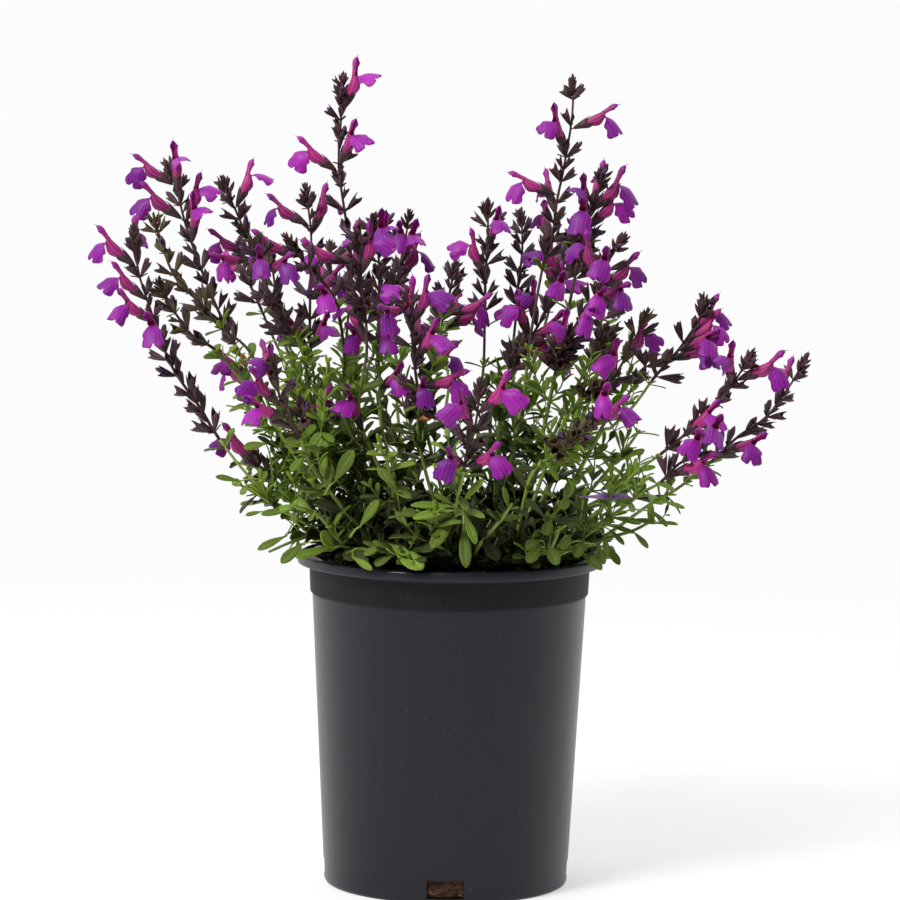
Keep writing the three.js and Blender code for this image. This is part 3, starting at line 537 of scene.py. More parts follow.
# The mouth of a calyx, a sixteenth of a turn a step from its upper side: how far each point reaches out.
CALYX_TEETH = (1, 0.72, 0.34, 0.06, 0.12, 0.55, 0.95, 0.55, 0.2, 0.55, 0.95, 0.55, 0.12, 0.06, 0.34, 0.72, 1)
CALYX_PROFILE = ((0, 0.2), (0.1, 0.32), (0.35, 0.54), (0.65, 0.8), (0.85, 0.98), (1, 1.06))
# A bud's places along it, and its radius there where it is pointed and where it is blunt.
BUD_ROWS = np.array([0, 0.2, 0.5, 0.8, 0.95, 1.0])
POINTED, BLUNT = np.array([0.4, 0.85, 1.0, 0.66, 0.28, 0.08]), np.array([0.45, 0.8, 1.0, 0.88, 0.55, 0.16])
# The corolla's tube from inside the calyx to its throat: distance, middle's height, half height, half width.
COROLLA_TUBE = ((6, 0, 0.8, 0.8), (9.5, 0, 1.5, 1.4), (12, -0.2, 2.2, 1.9), (14.4, -0.5, 2.95, 2.35),
                (16.6, -0.65, 3.3, 2.6), (18.6, -0.3, 3.0, 2.5), (20.2, 0.4, 2.4, 2.2),
                (21.4, 1.0, 1.9, 1.95), (22.3, 1.3, 2.0, 2.1))
# The hood's back: place along it, distance, height, half width, depth of its fold.
HOOD = ((0, 21.2, 3.1, 1.95, 2.8), (0.2, 23.2, 3.4, 1.45, 2.6), (0.4, 25.4, 4.0, 1.4, 3.0),
        (0.6, 27.5, 4.7, 1.85, 4.0), (0.75, 29.2, 4.8, 2.1, 4.1), (0.88, 30.6, 4.2, 1.75, 3.1),
        (1, 31.6, 3.3, 0.8, 1.4))
# The lower lip: half width along it, from its neck over the side lobes and the sinus to the notched end.
LIP_LENGTH = 14
LIP_HALF_WIDTH = ((0, 2.2), (0.06, 2.1), (0.12, 2.6), (0.19, 3.6), (0.27, 4.9), (0.35, 5.5), (0.44, 5.4),
                  (0.52, 4.9), (0.6, 5.2), (0.69, 6.0), (0.78, 6.5), (0.87, 6.3), (0.94, 5.3), (0.98, 4.2),
                  (1.0, 3.2))
# How much longer than its middle length the lip is from its notch, at 0, to its side, at 1, as a share.
LIP_END = ((0, -0.17), (0.14, -0.1), (0.35, 0.0), (0.6, 0.03), (0.85, 0.0), (1, -0.03))
LIP_ROWS = (0, 0.09, 0.18, 0.27, 0.36, 0.45, 0.53, 0.63, 0.74, 0.85, 0.94, 1.0)
LIP_FOOT = (21.6, -0.3)  # distance and height of its neck
LIP_HINGE = 22.5  # the distance of the line it turns its face about
THICKNESS = {"petal": 0.28, "lip": 0.3, "calyx": 0.3}


def read(table, places):
    """A value between the rows of a table of (place, value)."""
    return np.interp(places, *zip(*table))


def leaf(length, width, arch, fold, tone, kind=0.0, rows=7, columns=5, twist=0.0, inner=0.0):
    """An oblong leaf: a narrow foot, a blunt tip, folded a little along its midrib and arched."""
    u = np.array(LEAF_ROWS[rows])[:, None]
    v = np.linspace(-1, 1, columns)[None, ::-1]
    half = read(LEAF_OUTLINE, u) * width / 2
    turn = twist * u
    y, lift = half * v, half * (fold * np.abs(v) - 0.35 * fold * v ** 2)
    sheet = np.stack([
        length * u + 0 * v,
        y * np.cos(turn) - lift * np.sin(turn),
        -arch * length * u ** 2 + y * np.sin(turn) + lift * np.cos(turn),
    ], -1)
    # The spare mark carries the leaf's painted shade.
    return blade(sheet, LEAF["thickness"], u, v, tone, kind, inner)


def calyx(length, radius, gape, tone, kind=0.0, columns=14, rows=6):
    """A ribbed funnel with one upper and two lower teeth round an open mouth, and its short stalk."""
    stalk, cup = 0.15 * length, 0.54 * length
    u = np.linspace(0, 1, rows)[:, None]
    column = np.arange(columns)[None]
    turn = column * 2 * math.pi / columns
    teeth = np.interp(column * 16 / columns, np.arange(17), CALYX_TEETH)
    rib = 1 + 0.08 * np.cos(column * math.pi) * np.sin(math.pi * u)
    reach = read(CALYX_PROFILE, u) * radius * rib * (1 - 0.12 * teeth * u ** 5)
    x = stalk + cup * u + (length - stalk - cup) * teeth * u ** 2.5
    up = np.cos(turn)
    z = reach * up * (1.05 + 0.12 * u) + gape * teeth * np.where(up > 0, 1.0, -0.8) * u ** 3
    y = -reach * np.sin(turn) * (1 - 0.1 * u)
    sheet = np.stack([x, y, z], -1)
    funnel = blade(sheet, THICKNESS["calyx"], u, turn / math.pi - 1, tone, kind, wrapped=True)
    line = np.linspace([0, 0, 0], [stalk + 0.6, 0, 0], 3)
    return funnel, tube(line, [0.42, 0.36, 0.5], 5, tone, kind, spare=1.0)


def bud(length, radii, tone, kind, start=0.0):
    """A closed bud that bends up a little."""
    u = BUD_ROWS
    line = np.stack([start + u * length, 0 * u, 0.08 * length * u ** 2], 1)
    return tube(line, radii, 8, tone, kind)


def throat(tone):
    """A corolla's swollen tube."""
    x, z, tall, wide = np.array(COROLLA_TUBE).T[:, :, None]
    turn = -np.arange(10)[None] * 2 * math.pi / 10
    sheet = np.stack([x + 0 * turn, wide * np.sin(turn), z + tall * np.cos(turn)], -1)
    u = (x - x[0]) / (x[-1] - x[0])
    return blade(sheet, THICKNESS["petal"], u, turn / math.pi + 1, tone, 0.0, wrapped=True)


def hood(pick, tone):
    """A corolla's folded upper lip, and the tip of the style that comes out of it."""
    u, x, z, wide, deep = np.array(HOOD).T[:, :, None]
    raised = math.radians(pick(-8, 12))
    x, z = (x[0] + (x - x[0]) * math.cos(raised) - (z - z[0]) * math.sin(raised),
            z[0] + (z - z[0]) * math.cos(raised) + (x - x[0]) * math.sin(raised))
    v = np.linspace(1, -1, 7)[None]
    spread = pick(0.9, 1.15)
    bend = v * math.radians(82)
    back = np.stack([-np.gradient(z[:, 0]), np.gradient(x[:, 0])], 1)
    back = back / np.linalg.norm(back, axis=1, keepdims=True)
    fall = deep * (1 - np.cos(bend))
    sheet = np.stack([x - back[:, :1] * fall, spread * wide * np.sin(bend), z - back[:, 1:] * fall], -1)
    tip = np.array([x[-1, 0], 0, z[-1, 0]])
    style = tip + np.array([[-3, 0, -0.6], [-1, 0, -0.2], [0.6, 0.2, -0.1], [1.6, 0.3, -0.5]])
    return (blade(sheet, THICKNESS["petal"], u, v, tone, 0.2 + 0.4 * u),
            tube(style, [0.2, 0.2, 0.17, 0.1], 5, tone, 0.7, spare=1.0))


def lip(pick, tone, turn_to):
    """A corolla's broad hanging lip, its face turned from 1 to the flower's left to -1 to its right."""
    u = np.array(LIP_ROWS)[:, None]
    v = np.sin(np.linspace(1, -1, 11) * math.pi / 2)[None]
    size = pick(0.96, 1.16)
    ruffle = pick(0.4, 1) * np.sin(pick(3, 5) * math.pi * v + pick(0, 6) + 4 * u)
    ruffle = ruffle * u ** 1.5 * np.abs(v)
    p = LIP_LENGTH * size * u * (1 + read(LIP_END, np.abs(v)) * u ** 3)
    q = size * v * read(LIP_HALF_WIDTH, u) * (1 + pick(-0.1, 0.16) * u * np.sign(v))
    steps = np.linspace(0, 15, 61)
    start, end = math.radians(pick(0, 35)), math.radians(pick(58, 104))
    down = start + (end - start) * (1 - np.exp(-steps / pick(1.8, 4.5))) + 0.02 * steps
    ahead, sink = [np.append(0, np.cumsum(part[1:] * steps[1])) for part in (np.cos(down), np.sin(down))]
    roll = pick(5, 9)
    twist = -turn_to * math.radians(pick(30, 80)) + math.radians(pick(-12, 12))
    fall = roll * (1 - np.cos(q / roll)) + 0.5 * np.exp(-(q / 1.2) ** 2) * u ** 2 + ruffle
    tilt = np.interp(p, steps, down)
    side, fall = roll * np.sin(q / roll), fall * np.sin(tilt)
    out, turn = LIP_FOOT[0] + np.interp(p, steps, ahead) - fall - LIP_HINGE, twist * np.clip(p / 5, 0, 1)
    sheet = np.stack([LIP_HINGE + out * np.cos(turn) + side * np.sin(turn),
                      side * np.cos(turn) - out * np.sin(turn),
                      LIP_FOOT[1] - np.interp(p, steps, sink) - fall / np.tan(tilt)], -1)
    return blade(sheet, THICKNESS["lip"], u, v, tone, 1.0)


def corolla(number, tone, turn_to):
    """An open flower beyond its calyx."""
    pick = np.random.default_rng(SEED["flower"] + number).uniform
    return throat(tone), *hood(pick, tone), lip(pick, tone, turn_to)


# ---------- finishes ----------


class Value:
    """A socket that carries a number or a colour, with arithmetic that adds Math nodes."""

    def __init__(self, nodes, socket):
        self.nodes, self.socket = nodes, socket

    def math(self, operation, *others):
        sockets = dict(zip(("Value", "Value_001", "Value_002"), (self, *others)))
        return self.nodes.node("ShaderNodeMath", {"operation": operation}, sockets)["Value"]

    def __add__(self, other):
        return self.math("ADD", other)

    def __sub__(self, other):
        return self.math("SUBTRACT", other)

    def __rsub__(self, other):
        return self * -1 + other

    def __mul__(self, other):
        return self.math("MULTIPLY", other)

    __radd__, __rmul__ = __add__, __mul__

    def size(self):
        return self.math("ABSOLUTE")

    def wave(self):
        """The value's sine, brought to 0..1."""
        return self.math("SINE") * 0.5 + 0.5

    def within(self, low, high):
        """0 below low, 1 above high, and smooth between; reversed where low is above high."""
        if low > high:
            return 1 - self.within(high, low)
        sockets = {"Value": self, "From Min": low, "From Max": high}
        return self.nodes.node("ShaderNodeMapRange", {"interpolation_type": "SMOOTHSTEP"}, sockets)["Result"]


class Nodes:
    """A node tree, emptied: node() adds any node and gives its outputs by name."""

    def __init__(self, tree):
        self.tree = tree
        tree.nodes.clear()

    def node(self, kind, settings=None, sockets=None):
        made = self.tree.nodes.new(kind)
        for name, value in (settings or {}).items():
            setattr(made, name, value)
        inputs = {socket.identifier: socket for socket in made.inputs}
        for name, value in (sockets or {}).items():
            if isinstance(value, Value):
                self.tree.links.new(value.socket, inputs[name])
            else:
                inputs[name].default_value = value
        return {socket.identifier: Value(self, socket) for socket in made.outputs}

    def xyz(self, vector):
        parts = self.node("ShaderNodeSeparateXYZ", None, {"Vector": vector})
        return parts["X"], parts["Y"], parts["Z"]

    def mix_shaders(self, share, a, b):
        return self.node("ShaderNodeMixShader", None, {"Fac": share, "Shader": a, "Shader_001": b})["Shader"]


class Finish(Nodes):
    """A procedural material."""

    def __init__(self, name):
        self.material = bpy.data.materials.new(name)
        self.material.use_nodes = True
        super().__init__(self.material.node_tree)

    def marks(self):
        """along, across, tone, side, kind and spare of the surface."""
        found = []
        for name in ("growth", "part"):
            found += self.xyz(self.node("ShaderNodeAttribute", {"attribute_name": name})["Vector"])
        return found

    def place(self):
        """The place on the object, in metres."""
        return self.node("ShaderNodeTexCoord")["Object"]

    def noise(self, scale, detail=3.0, roughness=0.55, stretch=(1, 1, 1)):
        """A cloudy value 0..1 fixed to the object, with a grain of about 1 / scale metres."""
        place = self.node("ShaderNodeMapping", None, {"Vector": self.place(), "Scale": stretch})["Vector"]
        sockets = {"Vector": place, "Scale": scale, "Detail": detail, "Roughness": roughness}
        return self.node("ShaderNodeTexNoise", None, sockets)["Fac"]

    def mix(self, share, a, b):
        """Colour a where share is 0, b where it is 1."""
        sockets = {"Factor_Float": share, "A_Color": a, "B_Color": b}
        return self.node("ShaderNodeMix", {"data_type": "RGBA"}, sockets)["Result_Color"]

    def bump(self, height, strength, distance=0.0004):
        sockets = {"Height": height, "Strength": strength, "Distance": distance}
        return self.node("ShaderNodeBump", None, sockets)["Normal"]

    def surface(self, skin, roughness, normal, specular=0.5, through=None, share=0.0, more=None):
        """Ends the material; through is the colour of the share of light that passes a thin blade."""
        shine = {"Base Color": skin, "Roughness": roughness, "Normal": normal, "Specular IOR Level": specular}
        made = self.node("ShaderNodeBsdfPrincipled", None, {**shine, **(more or {})})["BSDF"]
        if through is not None:
            glow = self.node("ShaderNodeBsdfTranslucent", None, {"Color": through})["BSDF"]
            made = self.mix_shaders(share, made, glow)
        self.node("ShaderNodeOutputMaterial", None, {"Surface": made})
        return self.material


def colour(red, green, blue):
    """A colour given as it looks on a screen, 0..255, as the shader wants it."""
    parts = [((c / 255 + 0.055) / 1.055) ** 2.4 if c > 10 else c / 255 / 12.92 for c in (red, green, blue)]
    return (*parts, 1.0)


def leaf_finish():
    finish = Finish("salvia leaf")
    deep, full, young = colour(28, 53, 0), colour(102, 141, 8), colour(172, 194, 62)
    pale_under, pale_rib, painted_shade_colour = colour(116, 145, 54), colour(182, 204, 92), colour(26, 23, 12)
    along, across, tone, side, kind, inner = finish.marks()
    cloud = finish.noise(60)
    shade = tone + (cloud - 0.5) * 0.5
    green = finish.mix(shade.within(0.1, 0.9), deep, full)
    green = finish.mix(kind * 0.75, green, young)
    middle = across.size()
    vein = (along * 58 - middle * 13).wave().within(0.72, 1.0) * middle.within(0.95, 0.5)
    green = finish.mix(vein * 0.22, green, pale_rib)
    rib = middle.within(0.13, 0.04)
    green = finish.mix(rib * 0.6, green, pale_rib)
    under = finish.mix(rib * 0.45 + vein * 0.25, pale_under, pale_rib)
    under = finish.mix((1 - shade) * 0.35, under, deep)
    green = finish.mix(side * 0.8, green, under)
    green = finish.mix(middle.within(0.88, 1.0) * 0.3, green, young)
    # Painted shade: near black on leaves inside and low in the plant, which also let less light through.
    green = finish.mix(inner * 0.92, green, painted_shade_colour)
    normal = finish.bump(finish.noise(900, 2) * 0.25 + vein * 0.35 - rib * 0.8, 0.45)
    return finish.surface(green, cloud * 0.2 + 0.42, normal, 0.22, colour(144, 190, 8), inner * -0.18 + 0.2)


def stem_finish():
    finish = Finish("salvia stem")
    _, across, tone, _, kind, woody = finish.marks()
    cloud = finish.noise(140, stretch=(1, 1, 0.35))
    green = finish.mix(tone + (cloud - 0.5), colour(98, 122, 42), colour(150, 170, 84))
    dark = finish.mix(cloud.within(0.3, 0.7), colour(44, 28, 34), colour(84, 66, 62))
    skin = finish.mix((kind + (cloud - 0.5) * 0.4).within(0.25, 0.75), green, dark)
    bark = finish.mix(cloud.within(0.35, 0.65), colour(92, 68, 44), colour(140, 118, 84))
    skin = finish.mix(woody, skin, bark)
    hairs = finish.noise(2600, 1)
    skin = finish.mix(hairs.within(0.6, 0.75) * 0.35, skin, colour(178, 180, 150))
    return finish.surface(skin, 0.6, finish.bump(hairs * 0.5 + (across * 12.6).wave(), 0.5), 0.3)


def calyx_finish():
    finish = Finish("dark ribbed calyx")
    along, across, tone, side, kind, _ = finish.marks()
    cloud = finish.noise(160)
    dark = finish.mix(tone + (cloud - 0.5) * 0.9, colour(20, 4, 14), colour(112, 70, 78))
    olive = finish.mix(cloud, colour(96, 96, 34), colour(138, 130, 66))
    rib = (across * (math.pi * 10)).wave()
    green_share = (kind + (cloud - 0.5) * 0.3) * along.within(1.5, 0.3)
    skin = finish.mix(green_share.within(0.15, 0.8), dark, olive)
    # The ribs are real; their lighter tops are painted highlight and the dark grooves between them painted
    # shade.
    skin = finish.mix(rib.within(0.7, 1.0) * 0.45, skin, colour(150, 114, 100))
    skin = finish.mix(rib.within(0.3, 0.0) * 0.5, skin, colour(20, 8, 16))
    skin = finish.mix(side * 0.5, skin, colour(54, 38, 52))
    hairs = finish.noise(3000, 1)
    skin = finish.mix(hairs.within(0.62, 0.76) * 0.1, skin, colour(170, 140, 145))
    normal = finish.bump(rib * 0.7 + hairs * 0.3, 0.6)
    return finish.surface(skin, 0.46, normal, 0.26, colour(110, 50, 50), 0.1)


def petal_finish():
    finish = Finish("purple petal")
    _, across, tone, _, kind, style = finish.marks()
    cloud = finish.noise(170)
    rose = finish.mix(tone + (cloud - 0.5) * 0.7, colour(138, 16, 98), colour(206, 52, 146))
    streak = (across * 26 + cloud * 3).wave().within(0.6, 1.0)
    rose = finish.mix(streak * 0.5, rose, colour(216, 100, 168))
    violet = finish.mix(tone + (cloud - 0.5) * 0.9, colour(108, 4, 130), colour(190, 30, 186))
    # Lighter stripes across the lip: painted highlight standing in for fine folds.
    violet = finish.mix((across * 17).wave().within(0.5, 1.0) * 0.25, violet, colour(188, 82, 200))
    # Blue-violet patches on the lip: partly the petal's own colour, partly painted sheen.
    violet = finish.mix(finish.noise(420).within(0.5, 0.7) * 0.6, violet, colour(90, 22, 168))
    skin = finish.mix((kind + (cloud - 0.5) * 0.25).within(0.2, 0.7), rose, violet)
    skin = finish.mix(style * 0.6, skin, colour(150, 130, 170))
    normal = finish.bump(finish.noise(1800, 2) * 0.4 + streak * 0.3, 0.35)
    sheen = {"Sheen Weight": 0.2, "Sheen Roughness": 0.4, "Sheen Tint": colour(190, 170, 240)}
    return finish.surface(skin, 0.48, normal, 0.4, colour(184, 26, 156), 0.28, sheen)


def bud_finish():
    finish = Finish("unopened bud")
    along, _, _, _, kind, _ = finish.marks()
    cloud = finish.noise(200)
    skin = finish.mix(along.within(0.2, 0.9) + (cloud - 0.5) * 0.5, colour(44, 26, 44), colour(74, 36, 84))
    skin = finish.mix(kind, skin, colour(60, 42, 44))
    return finish.surface(skin, 0.45, finish.bump(finish.noise(2200, 1), 0.4, 0.0003))


def pot_finish():
    """Smooth black plastic: glossier on the lip than on the collar; the lip is painted lighter, as painted
    light from above, and the collar under its overhang is painted darker, as painted shade, and duller.
    """
    finish = Finish("black pot plastic")
    cloud = finish.noise(18, 4)
    streak = finish.noise(60, 3, stretch=(1, 1, 0.08))
    scuff = finish.noise(420, 2, stretch=(1, 1, 0.4)).within(0.66, 0.8)
    height = finish.xyz(finish.place())[2]
    # Painted shade on the collar under the lip's overhang, and painted light on the lip's band.
    collar = height.within(0.162, 0.1642) * height.within(0.1795, 0.178)
    lit_lip = height.within(0.1795, 0.1805)
    skin = finish.mix(cloud * 0.6 + streak * 0.4, colour(15, 15, 19), colour(24, 24, 29))
    skin = finish.mix(lit_lip, finish.mix(collar, skin, colour(3, 3, 4)), colour(31, 31, 36))
    skin = finish.mix(scuff * 0.14, skin, colour(110, 108, 108))
    rough = cloud * 0.1 + streak * 0.08 + scuff * 0.1 + collar * 0.35 + 0.24
    normal = finish.bump(finish.noise(1500, 2) * 0.4 + streak * 0.6, 0.12)
    return finish.surface(skin, rough, normal, 0.36, more={"Specular Tint": (0.88, 0.88, 1.0, 1)})


def mix_finish():
    finish = Finish("potting mix")
    grain = finish.noise(240, 5, 0.7)
    lumps = finish.noise(700, 3)
    skin = finish.mix(grain.within(0.35, 0.65), colour(34, 24, 18), colour(84, 60, 42))
    skin = finish.mix(lumps.within(0.62, 0.75) * 0.5, skin, colour(128, 98, 70))
    return finish.surface(skin, 0.9, finish.bump(grain * 0.6 + lumps * 0.4, 1.0, 0.002), 0.2)


def plain_finish(name, dark, light, scale, roughness):
    """A finish of two tones of one colour, for grit, fibres and what has withered."""
    finish = Finish(name)
    cloud = finish.noise(scale)
    skin = finish.mix(cloud.within(0.3, 0.7), colour(*dark), colour(*light))
    return finish.surface(skin, roughness, finish.bump(cloud, 0.6, 0.0006))


# ---------- the leafy shoots ----------


def inner_radius(height):
    """The pot's inner radius at a height."""
    return mixed(POT["base_radius"], POT["body_top_radius"], height / POT["step_height"]) - POT["wall"]


SOIL_RADIUS = inner_radius(SOIL["edge"]) - 0.9


def soil_height(radius):
    return SOIL["crown"] - (SOIL["crown"] - SOIL["edge"]) * (radius / SOIL_RADIUS) ** 2


def on_mix(x, y):
    """The place on the mix's surface."""
    return np.array([x, y, soil_height(math.hypot(x, y))])


def layout():
    """The shoots in the order of the solids: clump, number, stem course, spike course and blooms."""
    shoots, spikes = [], 0
    for clump, (root, branches) in enumerate(CLUMPS, 1):
        foot = on_mix(*root) + UP * (TRUNK_TOP - 2)
        for stem, *flowering in branches:
            spike, blooms = flowering or ((), ())
            places = [foot, *stem, *spike]
            junction = len(stem) / (len(stem) + len(spike))
            made = {"clump": clump, "number": len(shoots), "stem": Course(places, 0, junction), "spike": None}
            if spike:
                spikes += 1
                made.update(spike=Course(places, junction, 1), blooms=blooms, node=spikes)
            shoots.append(made)
    return shoots


def clear_of_pot(points):
    """Whether something stays out of the pot's wall and lip and above the mix."""
    radius = np.hypot(points[:, 0], points[:, 1])
    at_wall = (radius > CLEAR["wall_from"]) & (radius < CLEAR["wall_to"])
    in_wall = (points[:, 2] < POT["height"] + CLEAR["over_lip"]) & at_wall
    in_mix = (points[:, 2] < SOIL["crown"]) & (radius < CLEAR["mix_to"])
    return not (in_wall.any() or in_mix.any())


def hangs_outside(points):
    """Whether something hangs low outside the pot's lip, where the plant has next to nothing."""
    furthest = np.hypot(points[:, 0], points[:, 1]).max()
    return points[:, 2].min() < CLEAR["low"] and furthest > CLEAR["outside"]


def innerness(place):
    """How far inside the plant a place is, 0..1: the leaves there get the darkest painted shade."""
    radius, height = from_axis(place), place[2]
    low = ramp(height, 236, 214) * ramp(radius, 93, 73)
    high = ramp(height, 292, 252) * ramp(radius, 86, 48)
    return max(low, 0.8 * high)


def low_leaf_shade(place, tone):
    """How much painted shade darkens a leaf low in the plant: the dullest-toned of the lower leaves get the
    most.
    """
    return 0.85 * ramp(tone, 0.4, 0.1) * ramp(place[2], 268, 243)


def bareness(place):
    """0 in the leafy lower part of the plant to 1 at the height where the stems are nearly bare."""
    outer = ramp(from_axis(place), 76, 106) * max(0.3, ramp(place[2], 208, 230))
    return max(ramp(place[2], 243, 305), (0.95 if place[0] > RIGHT_SIDE else 0.75) * outer)


def breadth(place):
    """How broad the leaves are at a place: broader low down near the pot, narrower on the right."""
    return 1 + 0.18 * ramp(place[2], 232, 202) - 0.2 * ramp(place[0], 20, 80)


class Greenery:
    """The stems and leaves of a clump while they grow."""

    def __init__(self):
        self.stems, self.leaves = Growing(), Growing()

    def add_leaf(self, spot, length, width, arch, fold, tone, **more):
        # Painted shade: leaves inside the plant and dull low ones are darkened, where shade falls.
        inner = max(innerness(spot[0]), low_leaf_shade(spot[0], tone))
        made = leaf(length, width, arch, fold, tone, inner=inner, **more)
        points = made[0] @ spot[1].T + spot[0]
        if clear_of_pot(points) and not hangs_outside(points):
            self.leaves.add(spot, made)

    def leaf_pair(self, chance, place, along, turn, length, ripe):
        """Two opposite leaves; ripe is 0 for the youngest, palest and narrowest, 1 for full-grown ones."""
        for side in (0, 180):
            spot = growth(place, along, turn + side + chance.uniform(-14, 14),
                          chance.uniform(38, 68) * (0.6 + 0.4 * ripe))
            reach = length * chance.uniform(0.8, 1.15)
            width = reach * chance.uniform(0.3, 0.44) * (0.85 + 0.2 * ripe) * breadth(place)
            rows, columns = (6, 5) if reach > 12 else (5, 3)
            arch, fold, tone = chance.uniform(0, 0.22), chance.uniform(0.15, 0.6), chance.uniform(0, 1)
            self.add_leaf(spot, reach, width, arch, fold, tone, kind=(1 - ripe) * chance.uniform(0.3, 0.9),
                          rows=rows, columns=columns, twist=chance.uniform(-0.5, 0.5))

    def side_twig(self, chance, place, along, turn, lift, length):
        """A short leafy twig, curving upwards."""
        forward = growth(place, along, turn, lift)[1][:, 0]
        twig = Course([place, place + forward * length * 0.5, place + unit(forward + 0.35 * UP) * length])
        line = twig.line(5)
        if not clear_of_pot(line) or hangs_outside(line):
            return
        self.stems.add(None, tube(line, np.linspace(0.55, 0.35, 5), 5, chance.uniform(0.3, 1)))
        pairs = max(2, round(length / TWIG["leaf_spacing"]))
        first = chance.uniform(0, 360)
        for pair in range(pairs):
            t = min((pair + 0.8) / (pairs - 0.2), 1)
            self.leaf_pair(chance, twig.at(t), twig.along(t), first + 90 * pair,
                           mixed(16, 8, t) * chance.uniform(0.85, 1.2), 1 - 0.8 * t)

    def axil(self, chance, shoot, t, turn, length):
        """What grows in the axil of a leaf of that turn and length: a leafy twig or one young leaf."""
        place, along = shoot["stem"].at(t), shoot["stem"].along(t)
        twiggy = (1.15 - t) * (1 - bareness(place)) * (1 - 0.7 * innerness(place))
        in_zone = shoot["spike"] is not None and TWIG["zone_from"] < place[2] < TWIG["zone_to"]
        if in_zone and chance.uniform() < TWIG["zone_share"]:
            self.side_twig(chance, place, along, turn + chance.uniform(-30, 30), chance.uniform(14, 34),
                           chance.uniform(34, 62))
        elif chance.uniform() < twiggy:
            self.side_twig(chance, place, along, turn + chance.uniform(-30, 30), chance.uniform(25, 50),
                           mixed(34, 12, t) * chance.uniform(0.6, 1.1))
        else:
            small = length * chance.uniform(0.35, 0.6)
            spot = growth(place, along, turn + chance.uniform(-40, 40), chance.uniform(15, 40))
            width = small * chance.uniform(0.3, 0.42)
            self.add_leaf(spot, small, width, chance.uniform(0, 0.2), chance.uniform(0.1, 0.5),
                          chance.uniform(0.2, 1), kind=chance.uniform(0.3, 0.9), rows=5, columns=3)

    def leafy_shoot(self, shoot):
        """The leaf pairs of a shoot, smaller towards its end, with what grows in their axils."""
        stem, number = shoot["stem"], shoot["number"]
        chance = np.random.default_rng(SEED["shoot"] + number)
        leafy_to = {**LOW_WHORLS, **BARE_STEMS}.get(shoot.get("node"), 1)
        pairs = max(2, round(stem.length / LEAF["spacing"]))
        for pair in range(pairs):
            t = (pair + 0.6) / pairs
            place = stem.at(t)
            in_solid = pair % LEAF["solid_every"] == (pairs - 1) % LEAF["solid_every"]
            none = 0.9 if shoot["spike"] else 0.7 if place[0] > RIGHT_SIDE else 0.2
            if not in_solid and (chance.uniform() < bareness(place) * none or t > leafy_to):
                continue
            for side in (0, 1):
                turn = 360 * draw(number, 11) + 90 * pair + 180 * side + 30 * draw(number, pair, side, 12)
                lift = 50 + 25 * draw(number, pair, side, 13)
                length = mixed(LEAF["longest"], LEAF["shortest"], t) * (1 - 0.12 * bareness(place))
                length *= 0.8 + 0.35 * draw(number, pair, side, 14)
                width = length * (0.36 + 0.12 * draw(number, pair, side, 15)) * breadth(place)
                arch = 0.05 + 0.15 * draw(number, pair, side, 16)
                self.add_leaf(stem.spot(t, turn, lift), length, width, arch, chance.uniform(0.1, 0.5),
                              chance.uniform(0, 1), kind=chance.uniform(0, 0.5) * t,
                              twist=chance.uniform(-0.5, 0.5))
                self.axil(chance, shoot, t, turn, length)

    def green_stem(self, shoot):
        """A shoot's stem, which turns dark with height, most of all below a spike."""
        line = shoot["stem"].line(24)
        radii = mixed(*STEM_RADII, np.linspace(0, 1, 24) ** 0.7)
        dark = ramp(line[:, 2], 250, 320) * (0.95 if shoot["spike"] else 0.25)
        self.stems.add(None, tube(line, radii, 8, draw(shoot["number"], 30), dark))

    def foot(self, root, chance):
        """A clump's woody foot and the low leafy twigs that spread from it."""
        heights, radii = zip(*TRUNK)
        self.stems.add(None, tube([root + UP * z for z in heights], radii, 10, 0.5, 0.3, spare=1.0))
        for twig in range(TWIG["a_foot"]):
            start = root + UP * chance.uniform(4, TRUNK_TOP)
            self.side_twig(chance, start, UP, 51 * twig + chance.uniform(-20, 20), chance.uniform(35, 76),
                           chance.uniform(18, 40))


def grow_rim_leaves(stem_green, leaf_green):
    """The single leaves that stand out, each on a thin petiole from within the plant."""
    green = Greenery()
    chance = np.random.default_rng(SEED["rim_leaves"])
    for start, group in RIM_LEAVES:
        start = np.array(start, float)
        for foot, tip, width, youth in group:
            foot, tip = np.array(foot, float), np.array(tip, float)
            forward = unit(tip - foot)
            halfway = mixed(start, foot, 0.6) + 0.1 * np.linalg.norm(foot - start) * UP
            petiole = Course([start, halfway, foot + forward])
            green.stems.add(None, tube(petiole.line(9), np.linspace(0.6, 0.4, 9), 6, 0.8))
            spot = facing(foot, forward, np.array([chance.uniform(-0.3, 0.3), -0.75, 0.7]))
            arch, fold = chance.uniform(0.04, 0.12), chance.uniform(0.15, 0.35)
            # The older rim leaves get some painted shade.
            made = leaf(np.linalg.norm(tip - foot), width, arch, fold, 0.1 + 0.75 * youth, youth, columns=7,
                        inner=0.4 * (1 - youth))
            green.leaves.add(spot, made)
    green.stems.piece("rim_leaf_petioles", stem_green, "green_growth", "leafy_clump_10")
    green.leaves.piece("rim_leaves", leaf_green, "green_growth", "leafy_clump_10")


def grow_clumps(shoots):
    leaf_green, stem_green = leaf_finish(), stem_finish()
    for clump, (root, _) in enumerate(CLUMPS, 1):
        green = Greenery()
        green.foot(on_mix(*root), np.random.default_rng(SEED["clump_foot"] + clump))
        for shoot in shoots:
            if shoot["clump"] == clump:
                green.green_stem(shoot)
                green.leafy_shoot(shoot)
        name, node = f"clump_{clump:02d}", f"leafy_clump_{clump:02d}"
        green.stems.piece(f"{name}_stems", stem_green, "green_growth", node)
        green.leaves.piece(f"{name}_leaves", leaf_green, "green_growth", node)
    grow_rim_leaves(stem_green, leaf_green)


# ---------- the flower spikes ----------


